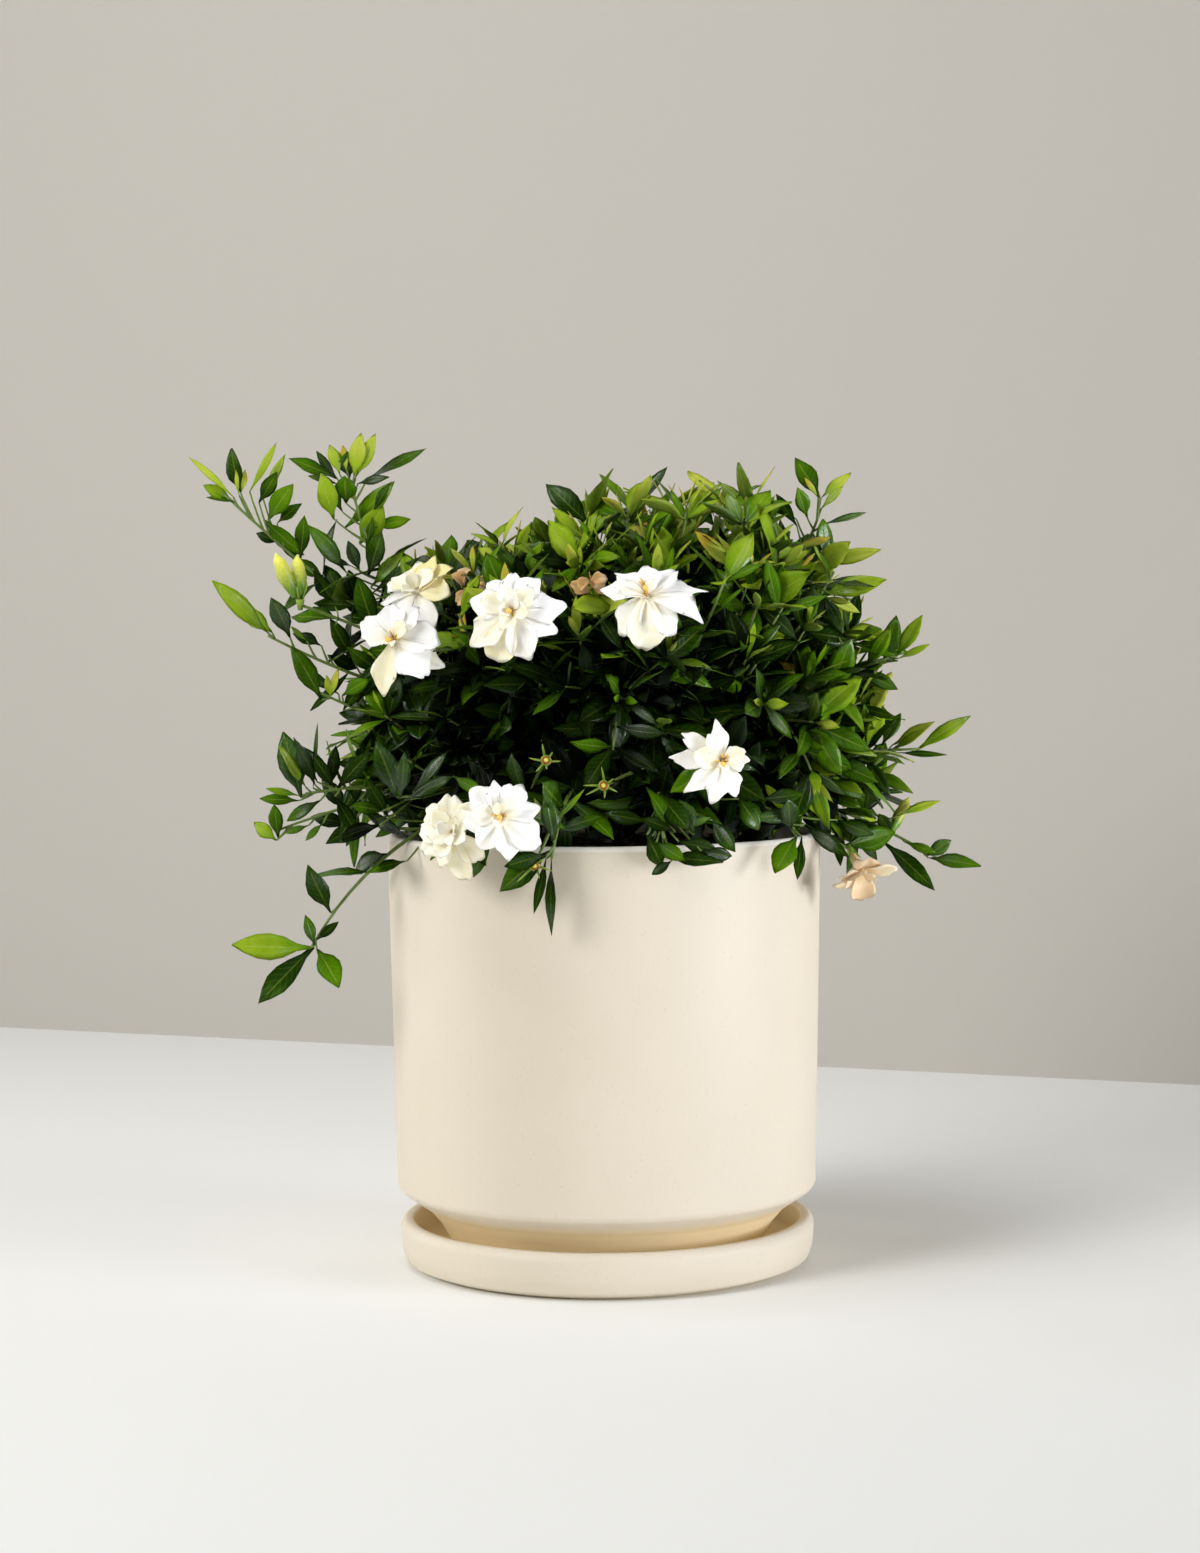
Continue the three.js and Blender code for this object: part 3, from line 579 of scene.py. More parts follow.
def trunk_piece():
    bm = new_bmesh()
    foot = Vector((0, 0, TRUNK["bottom"]))
    crown = Vector((0, 0, TRUNK["crown"] + 4))
    draw = seeded(5)
    knots = lambda co: 1 + 0.08 * sin(9 * co.z + 2 * atan2(co.y, co.x))
    tube(bm, STALK_BLANK, *straight(foot, crown), TRUNK["radius"] - 0.4, TRUNK["radius"] - 1.6, 0.3, 0, knots)
    for azimuth in (0, 72, 144, 216, 288):
        out = polar(RIGHT, BACK, azimuth)
        end = Vector(HEART["centre"]) + out * TRUNK["spread"]
        way = bezier(Vector((0, 0, TRUNK["crown"] - 4)), end, out * 3 + Vector((0, 0, -2 + 2 * draw())))
        tube(bm, STALK_BLANK, *way, TRUNK["limb"], TRUNK["limb"] - 1, 0.3, 0, knots)
    piece("woody_trunk", bm, (WOOD,), "bark", ("trunk",))


glazed("glazed_saucer", "saucer", saucer_profile(), 1.6)
glazed("glazed_pot", "pot", pot_profile(), 1.1)
soil_piece()
trunk_piece()

# ---------------------------------------------------------------- leaves

LIGHT = Vector(BUSH["light"])
LOW, HIGH = cad_low / MM, cad_high / MM


def has_room(point):
    """Whether a point is inside the plant's box and clear of the pot."""
    if any(point[i] < LOW[i] + 0.4 or point[i] > HIGH[i] - 0.4 for i in range(3)):
        return False
    reach = hypot(point.x, point.y)
    if point.z < POT["rim_z"] + 1.5 and reach < POT["rim"] + 1.5:
        return reach < POT["rim"] - POT["wall"] - 2 and point.z > SOIL["level"] + 3
    return True


def hides_bloom(point, blooms):
    """Whether a point stands in a bloom or between it and whoever looks at it."""
    for centre, front in blooms:
        away = point - centre
        for sight in (front, Vector((0, -1 if front.y < 0.5 else 1, 0.1))):
            deep = away.dot(sight)
            if deep > -3 and (away - sight * deep).length < BLOOM["petal"] * 0.98:
                return True
    return False


def leaf(bm, base, along, up, length, width, tone, draw, blooms=(), wild=1.0):
    """One leaf: a short stalk, a blade folded a little, a pointed tip. It is left out where it has no room."""
    side = along.cross(up)
    sag = LEAF["curl"] * wild * (draw() - 0.2) * length
    sway, twist, phase = (draw() - 0.5) * 0.24 * wild * length, (draw() - 0.5) * 0.9, draw() * TURN
    fold = 0.12 + 0.2 * draw()

    def midline(share):
        return base + along * (share * length) + (side * sway - up * sag) * (share * share)

    spots = [midline(share) for share in (0.25, 0.5, 0.75, 1.0)]
    if not all(has_room(spot) and not hides_bloom(spot, blooms) for spot in spots):
        return

    def place(co):
        share = co.y
        blade = max(0, (share - LEAF["petiole"]) / (1 - LEAF["petiole"]))
        outline = sin(pi * blade**0.96) ** 0.94 if 0 < blade < 1 else 0
        half = width / 2 * max(0.09 - 0.05 * share, outline)
        lift = abs(co.x) * half * fold + 0.05 * width * sin(share * 9 + co.x * 1.5 + phase) * abs(co.x)
        thick = co.z * LEAF["thick"] * (1 - 0.55 * abs(co.x))
        turn = twist * share
        over, above = twisted(side, up, turn)
        return midline(share) + over * (co.x * half) + above * (lift + thick)

    lay(bm, LEAF_BLANK, place, tone)


def facing(along, tangent, roll):
    """The way a leaf's upper skin looks: to the light, then rolled about the leaf."""
    up = LIGHT + tangent * 0.7
    up = (up - along * up.dot(along)).normalized()
    return Matrix.Rotation(radians(roll), 3, along) @ up


def leafy(bm, point, heading, pairs, tuft, size, seed, age_and_shade=0.0, first=0.34, last=0.9, young=True):
    """Crossed pairs of leaves along a stem, a tuft of them at its end, and a young pair that stands upright."""
    draw = seeded(seed * 7)
    turn = draw() * 180
    # a leaf's place on the stem, its azimuth, its lean from the stem, its share of the full length, and its tone
    plan = []
    for i in range(pairs):
        up_stem = (i + 0.5) / pairs
        for half in (0, 180):
            t = first + (last - first) * up_stem
            plan.append((t, turn + i * 90 + half, 62, 0.82 + draw() * 0.3, 0.15 + 0.3 * up_stem))
    for i in range(tuft):
        plan.append((0.96, turn + 45 + i * 360 / tuft, 40 + 26 * draw(), 0.7 + draw() * 0.38, 0.52))
    for t, azimuth, lean, share, tone in plan:
        tangent = heading(t)
        lean += (draw() - 0.5) * 30
        out = around(tangent, azimuth + (draw() - 0.5) * 34)
        along = polar(tangent, out, lean)
        up = facing(along, tangent, (draw() - 0.5) * LEAF["roll"])
        length = size * share
        width = length * LEAF["slim"] * (0.6 + 0.8 * draw())
        # a leaf's tone follows how old it is, and callers lower it further to paint shade on leaves deep or low in
        # the bush
        tone = min(1.1 if age_and_shade > 0.3 else 0.93, tone + age_and_shade + (draw() - 0.5) * 0.55)
        leaf(bm, point(t), along, up, length, width, tone, draw, ALL_BLOOMS)
    if young:
        for half in (0, 180):
            out = around(heading(1), turn + half)
            along = (heading(1) + out * (0.25 + 0.3 * draw())).normalized()
            up = (along * out.dot(along) - out).normalized()
            length = size * (0.4 + 0.35 * draw())
            tone = min(0.93, 0.8 + age_and_shade + draw() * 0.12)
            leaf(bm, point(1), along, up, length, length * 0.27, tone, draw, ALL_BLOOMS, 0.3)


def on_dome(azimuth, height, share):
    """A point at a share of the way from the heart's centre to the bush's dome."""
    flat = cos(radians(height))
    away = (flat * cos(radians(azimuth)), flat * sin(radians(azimuth)), sin(radians(height)))
    return Vector(HEART["centre"]).lerp(Vector(BUSH["centre"]) + scaled(BUSH["reach"], away), share)


def in_crown(azimuth, height, share):
    """As on_dome, for the crown: fuller in its shoulders and its skirt, higher on the right and lower on the left."""
    centre, reach = Vector(BUSH["centre"]), BUSH["reach"]
    away = on_dome(azimuth, height, share) - centre
    unit = [abs(a) / b for a, b in zip(away, reach)]
    corner = SHOULDERS["corner"]
    fuller = hypot(*unit) / max(1e-6, sum(a**corner for a in unit) ** (1 / corner))
    away *= 1 + (fuller - 1) * share
    away.x *= 1 + SHOULDERS["skirt"] * (1 - smooth(-20, 50, away.z)) + (SHOULDERS["right"] if away.x > 0 else 0)
    place = centre + away
    high = smooth(SHOULDERS["low"], SHOULDERS["high"], place.z)
    dip = SHOULDERS["dip"] * (1 - smooth(-20, 20, place.x)) * (0.6 + 0.4 * smooth(-90, -45, place.x))
    place.z += high * (SHOULDERS["rise"] * smooth(20, 90, place.x) - dip)
    return place


# ---------------------------------------------------------------- blooms

# A bloom has its middle, the way it looks, where its shoot leaves the heart, the number of its inner petals, and its
# petals of the outer whorls: azimuth (0 is the viewer's left, 90 is up), length, width, rise of the petal's foot from
# the open plane, how far it bends back over its length, and how creamy it is. Some also have how grown they are, how
# far the stamens spread and turn up, the place of a spent calyx on the same shoot, or are faded.
BLOOMS = {
    "bloom_left": {
        "place": (-113, -97, 361), "faces": (-0.25, -0.9, 0.3), "root": (-50, -40, 326), "inner": 3,
        "petals": [
            (32, 23, 15, 18, 40, 0.1), (80, 21, 15, 22, 35, 0.0), (125, 22, 14, 25, 40, 0.05),
            (182, 25, 19, 12, 30, 0.0), (226, 29, 20, 8, 25, 0.0), (284, 31, 14, 2, 38, 0.55),
            (205, 30, 13, -12, 20, 0.3),
        ],
    },
    "bloom_left_behind": {
        "place": (-103, -50, 388), "faces": (-0.3, -0.7, 0.65), "root": (-42, -18, 340), "inner": 4,
        "petals": [
            (350, 24, 15, 10, 40, 0.0), (25, 24, 16, 14, 40, 0.05), (75, 20, 13, 30, 40, 0.6),
            (112, 22, 14, 38, 30, 1.2), (150, 24, 15, 32, 30, 1.2), (190, 22, 13, 26, 40, 0.8),
            (240, 27, 12, 4, 45, 0.1), (300, 24, 14, 8, 40, 0.05),
        ],
    },
    "bloom_centre_left": {
        "place": (-48, -124, 376), "faces": (-0.05, -0.95, 0.25), "root": (-22, -50, 336), "inner": 7,
        "petals": [
            (14, 23, 15, 10, 25, 0.05), (52, 20, 14, 18, 25, 0.0), (92, 21, 14, 20, 25, 0.05),
            (128, 22, 14, 16, 28, 0.0), (172, 29, 17, 2, 20, 0.05), (205, 26, 15, 4, 24, 0.0),
            (250, 27, 16, 6, 22, 0.1), (288, 28, 17, -6, 28, 0.55), (322, 29, 16, 0, 26, 0.3),
        ],
    },
    "bloom_centre": {
        "place": (24, -118, 383), "faces": (0.05, -0.62, 0.78), "root": (12, -46, 338), "stamens": (1.1, 1),
        "inner": 2,
        "petals": [
            (8, 25, 15, 20, 30, 0.0), (45, 22, 15, 26, 25, 0.0), (92, 20, 16, 30, 20, 0.05),
            (135, 24, 15, 24, 24, 0.0), (172, 33, 15, 12, 22, 0.0), (205, 33, 18, 6, 34, 0.05),
            (240, 27, 15, 6, 60, 0.1), (275, 33, 19, 4, 88, 0.4), (312, 27, 15, 4, 80, 0.15),
        ],
    },
    "bloom_right_low": {
        "place": (63, -138, 295), "faces": (0.2, -0.95, 0.1), "root": (26, -56, 292), "grown": 0.86,
        "spent": (-2, -125, 281), "inner": 3,
        "petals": [
            (82, 26, 11, 24, 30, 0.1), (58, 20, 10, 34, 25, 0.2), (35, 30, 10, 14, 26, 0.15), (5, 33, 11, 6, 24, 0.1),
            (322, 30, 11, 10, 30, 0.15), (285, 27, 14, 14, 34, 0.05), (248, 24, 13, 18, 36, 0.1),
            (180, 17, 12, 34, 30, 0.2), (150, 15, 10, 40, 30, 0.2),
        ],
    },
    "bloom_rim_left": {
        "place": (-80, -138, 259), "faces": (-0.35, -0.9, 0.05), "root": (-36, -50, 278), "grown": 0.9, "inner": 10,
        "petals": [
            (0, 23, 14, 14, 34, 0.35), (40, 22, 14, 16, 30, 0.35), (85, 22, 14, 20, 30, 0.4),
            (130, 22, 14, 16, 30, 0.4), (225, 24, 14, 4, 30, 0.4), (262, 31, 16, -6, 26, 0.5),
            (298, 24, 15, 10, 36, 0.4), (330, 26, 14, 6, 32, 0.35),
        ],
    },
    "bloom_rim_right": {
        "place": (-55, -149, 267), "faces": (0.15, -0.92, 0.3), "root": (-22, -56, 286), "grown": 0.96,
        "spent": (-30, -122, 297), "inner": 4,
        "petals": [
            (45, 22, 15, 18, 20, 0.05), (84, 20, 15, 20, 20, 0.0), (125, 22, 14, 14, 22, 0.0),
            (165, 24, 14, 8, 24, 0.0), (215, 27, 17, 2, 22, 0.05), (258, 24, 16, 4, 24, 0.1),
            (305, 22, 15, 12, 26, 0.15), (350, 21, 14, 18, 24, 0.1),
        ],
    },
    "bloom_faded": {
        "place": (143, -58, 231), "faces": (0.35, -0.5, -0.75), "root": (54, -24, 278), "faded": True, "inner": 2,
        "petals": [
            (10, 19, 15, 50, 30, 0.3), (70, 18, 14, 40, 50, 0.5), (130, 21, 14, 44, 30, 0.15),
            (190, 17, 15, 36, 55, 0.25), (250, 20, 13, 50, 30, 0.45), (310, 18, 15, 36, 60, 0.2),
        ],
    },
    "bloom_back_left": {
        "place": (-84, 112, 360), "faces": (-0.4, 0.85, 0.35), "root": (-38, 50, 326), "inner": 6,
        "petals": [(60 * i + 8, 24 + 2 * (i % 3), 15, 10, 30, 0.1 * (i % 3)) for i in range(6)],
    },
    "bloom_back_right": {
        "place": (62, 126, 344), "faces": (0.3, 0.9, 0.3), "root": (28, 56, 318), "inner": 3,
        "petals": [(60 * i + 31, 24 + 2 * (i % 2), 15, 12, 30, 0.1 * (i % 2)) for i in range(6)],
    },
}
WITH_STIGMA = (
    "bloom_left", "bloom_centre_left", "bloom_centre", "bloom_right_low",
    "bloom_rim_right", "bloom_back_left", "bloom_back_right",
)


def bloom_at(plan):
    """Where a bloom's petals spread from, and the way they face."""
    return Vector(plan["place"]), Vector(plan["faces"]).normalized()


ALL_BLOOMS = [bloom_at(plan) for plan in BLOOMS.values()]


def petal(bm, centre, front, azimuth, length, width, rise, bend, tone, draw, cup=0.3):
    """One petal: a narrow claw, a broad blunt end that is notched and waved, bent back on an arc."""
    out = around(front, azimuth)
    start_angle, arc = radians(rise), radians(bend)
    ruffle, phase, twist = 0.06 + 0.08 * draw(), draw() * TURN, draw() - 0.5
    bite, bite_at, pointed = 0.2 * max(0, draw() - 0.35), (draw() - 0.5) * 1.1, 0.1 + 0.28 * draw()
    rolled = (draw() - 0.35) * 0.9

    def place(co):
        across, share = co.x, co.y
        bitten = bite * exp(-(((across - bite_at) / 0.17) ** 2))
        frayed = 0.014 * sin(7 * across + phase)
        end = share - share**4 * (0.1 * across * across + pointed * abs(across) ** 1.4 + bitten + frayed)
        angle = start_angle - arc * end
        run = length / arc * (sin(start_angle) - sin(angle))
        lift = length / arc * (cos(angle) - cos(start_angle))
        side, normal = out.cross(front), front * cos(angle) - out * sin(angle)
        turn = twist * share
        over, above = twisted(side, normal, turn)
        half = width / 2 * (0.3 + 0.7 * smooth(0.0, 0.6, share)) * (1 - 0.16 * smooth(0.75, 1.0, share))
        dish = half * across * across * (cup * (1.3 - share) - rolled * share * share)
        crease = -0.14 * half * share * exp(-((across / 0.22) ** 2))
        edge = ruffle * length * share * share * sin(3.2 * across + phase) * abs(across)
        thick = co.z * BLOOM["thick"] * (1 - 0.65 * share)
        raised = dish + crease + edge + thick
        return centre + out * (1 + run) + front * lift + over * (across * half) + above * raised

    lay(bm, PETAL_BLANK, place, tone)


def bloom_piece(name, plan, seed):
    """The petals of a bloom round the throat that they stand on."""
    bm = new_bmesh()
    draw = seeded(seed)
    centre, front = bloom_at(plan)
    throat = straight(centre - front * BLOOM["tube"], centre + front * 0.6)
    tube(bm, STALK_BLANK, *throat, 1.6, 3.2, 0.6, 0)
    grown = plan.get("grown", BLOOM["grown"])
    for azimuth, length, width, rise, bend, cream in plan["petals"]:
        petal(bm, centre, front, azimuth, length * grown, width * grown * BLOOM["broad"], rise, bend, cream, draw)
    count = plan["inner"]
    for i in range(count):
        depth = i / max(1, count - 1)
        foot = centre + front * (0.6 + depth)
        azimuth = i * SPIRAL["petals"] + draw() * 20
        length = 17 - 8 * depth + draw() * 2
        rise, bend, cream = 34 + 40 * depth, 34 - 10 * depth, 0.15 + 0.3 * draw()
        petal(bm, foot, front, azimuth, length, length * 0.72, rise, bend, cream, draw, cup=0.5)
    of_petal, slot = (FADED, "faded_petal") if plan.get("faded") else (PETAL, "petal")
    piece(name + "_petals", bm, (of_petal, of_petal), slot, (name,))


def stigma_piece(name, plan):
    """The club-shaped stigma and the stamens that curl out beside it."""
    bm = new_bmesh()
    centre, front = bloom_at(plan)
    draw = seeded(len(name) * 31 + 7)
    club = lambda co: 1 + 0.9 * smooth(0.5, 0.85, co.z) - 1.3 * smooth(0.88, 1.0, co.z)
    droop = around(front, 300) * 3
    way = bezier(centre + front * 0.8, centre + front * 9 + droop, front * 0.8)
    tube(bm, STALK_BLANK, *way, 0.8, 0.85, 0.5, 0, club)
    spread, turned_up = plan.get("stamens", (0.55, 0))
    for i in range(STAMENS):
        out = around(front, (i * 60 + draw() * 30) * (1 - turned_up) + (60 + 12 * i) * turned_up)
        tip = centre + front * (2.6 + 3 * draw()) + out * (6 + 3.5 * draw()) * spread
        way = bezier(centre + front * 1.4 + out * 1.2, tip, front * 1.8)
        tube(bm, TWIG_BLANK, *way, 0.4, 0.6, 0.4, 0, lambda co: 1 - 0.6 * smooth(0.8, 1, co.z))
    piece(name + "_stamens", bm, (STIGMA,), "stigma", (name + "_stigma",))


# ---------------------------------------------------------------- shoots


def sepals(bm, centre, front, length, lean, seed):
    """Narrow curved sepals round a calyx."""
    draw = seeded(seed)
    for i in range(SEPALS):
        out = around(front, i * 360 / SEPALS + draw() * 34)
        along = polar(front, out, lean + (draw() - 0.5) * 46)
        up = (front - along * front.dot(along)).normalized()
        size = length * (0.6 + 0.6 * draw())
        side = along.cross(up)
        curl = 0.1 + 0.25 * draw()

        def place(co):
            half = 0.75 * (1 - co.y) ** 0.6 + 0.08
            lift = co.z * 0.3 + curl * size * co.y * co.y
            return centre + along * (co.y * size) + out * 1.6 + side * (co.x * half) + up * lift

        lay(bm, LEAF_BLANK, place, 0.6, ON_CALYX)


def calyx(bm, tip, front, seed):
    """The green cup below a bloom, with its sepals."""
    way = straight(tip - front * CALYX["cup"], tip)
    tube(bm, STALK_BLANK, *way, 1.3, 2.5, 0.5, ON_CALYX)
    sepals(bm, tip - front * 1.5, front, CALYX["sepal"] * 0.75, 24, seed)


def spent_calyx(bm, point, place, seed):
    """The star of sepals round the brown scar that a dropped bloom leaves."""
    start_point = point(0.5)
    front = (place - start_point).normalized()
    way = bezier(start_point, place - front * 4, UP * 2)
    tube(bm, TWIG_BLANK, *way, 1.0, 0.9, 0.7, ON_STEM)
    look = (front * 0.4 + Vector((0, -1, 0.15))).normalized()
    base = place - front * 4
    tube(bm, STALK_BLANK, *straight(base, base + look * 4), 1.2, 3.1, 0.5, ON_CALYX)
    tube(bm, STALK_BLANK, *straight(base + look * 3.6, base + look * 4.6), 2.5, 2.2, 0.5, ON_SCAR)
    tube(bm, STALK_BLANK, *straight(base + look * 4.2, base + look * 5.1), 1.3, 1.0, 0.5, ON_BUD)
    sepals(bm, base + look * 3.2, look, CALYX["sepal"] * 0.85, 66, seed)


def bud(bm, base, tip, seed, fat=4.0):
    """A furled bud: a spindle whose petals wind round each other."""
    length = (tip - base).length

    def swell(co):
        share = co.z
        body = 0.34 + 0.66 * sin(pi * min(1, share * 0.95 + 0.06)) ** 0.8
        furl = 1 + 0.1 * sin(5 * (atan2(co.y, co.x) + 2.6 * share))
        return max(0.04, body * furl * (1 - smooth(0.86, 1.0, share) * 0.9))

    way = bezier(base, tip, around((tip - base).normalized(), seed * 40) * length * 0.03)
    tube(bm, STALK_BLANK, *way, fat, fat, 0.6, ON_BUD, swell)


def shoot_piece(name, bm):
    piece(name + "_leaves", bm, GREENS, "leaf", (name,))


def bearing_shoot(name, plan, seed):
    """The shoot that carries a bloom: its stem, its leaves and the calyx."""
    bm = new_bmesh()
    centre, front = bloom_at(plan)
    cup = centre - front * (BLOOM["tube"] + 0.3)
    point, heading = bezier(Vector(plan["root"]), cup - front * CALYX["cup"] / 2, UP * 3)
    tube(bm, STALK_BLANK, point, heading, STEM["root"], STEM["tip"], 0.75, ON_STEM)
    calyx(bm, cup, front, seed + 3)
    leafy(bm, point, heading, 3, 4, FILL["leaf"], seed, -0.14, young=False)
    if "spent" in plan:
        spent_calyx(bm, point, Vector(plan["spent"]), seed + 5)
    shoot_piece(name, bm)


for i, (name, plan) in enumerate(BLOOMS.items()):
    bloom_piece(name, plan, 101 + i)
    if name in WITH_STIGMA:
        stigma_piece(name, plan)
    bearing_shoot(name.replace("bloom", "shoot"), plan, 501 + 10 * i)


def dried_petals(spots, seed):
    """Brown leftovers of older blooms, caught among the leaves: each spot has a few crumpled petals."""
    bm = new_bmesh()
    draw = seeded(seed)
    for spot in spots:
        for i in range(5):
            foot = Vector(spot) + Vector((draw() - 0.5, draw() - 0.5, draw() - 0.5)) * 7
            front = Vector((draw() - 0.5, -0.7, draw() - 0.2)).normalized()
            azimuth, length, rise, brown = i * 72 + 50 * draw(), 10 + 4 * draw(), 50 + 40 * draw(), 0.7 + 0.5 * draw()
            petal(bm, foot, front, azimuth, length, 8, rise, 130, brown, draw, cup=0.9)
    piece("dried_petals", bm, (FADED, FADED), "faded_petal")


dried_petals([(-73, -84, 388), (-5, -98, 388)], 91)

# Two furled buds rise from one shoot on the left.
BUDS = {"place": (-168, -60, 384), "root": (-60, -30, 330), "tips": ((-181, -64, 410), (-170, -56, 409))}


def buds_pieces(seed):
    """The two buds, and the shoot with their calyx."""
    bm = new_bmesh()
    for i, tip in enumerate(BUDS["tips"]):
        lift = Vector(BUDS["place"]) + Vector((-2 + 3 * i, 0, 2))
        bud(bm, lift, Vector(tip), seed + i, 4.3)
    piece("furled_buds", bm, (BUD,) * 8, "bud", ("buds_left",))
    bm = new_bmesh()
    cup = Vector(BUDS["place"])
    point, heading = bezier(Vector(BUDS["root"]), cup - UP * CALYX["cup"] / 2, UP * 3)
    tube(bm, STALK_BLANK, point, heading, STEM["root"], STEM["tip"], 0.75, ON_STEM)
    tube(bm, STALK_BLANK, *straight(cup - UP * CALYX["cup"], cup), 1.3, 2.6, 0.5, ON_CALYX)
    sepals(bm, cup, UP, CALYX["sepal"], 22, seed)
    leafy(bm, point, heading, 3, 0, FILL["leaf"], seed, young=False)
    shoot_piece("shoot_buds_left", bm)


buds_pieces(501 + 10 * len(BLOOMS))

# ---------------------------------------------------------------- sprigs that stand out of the bush

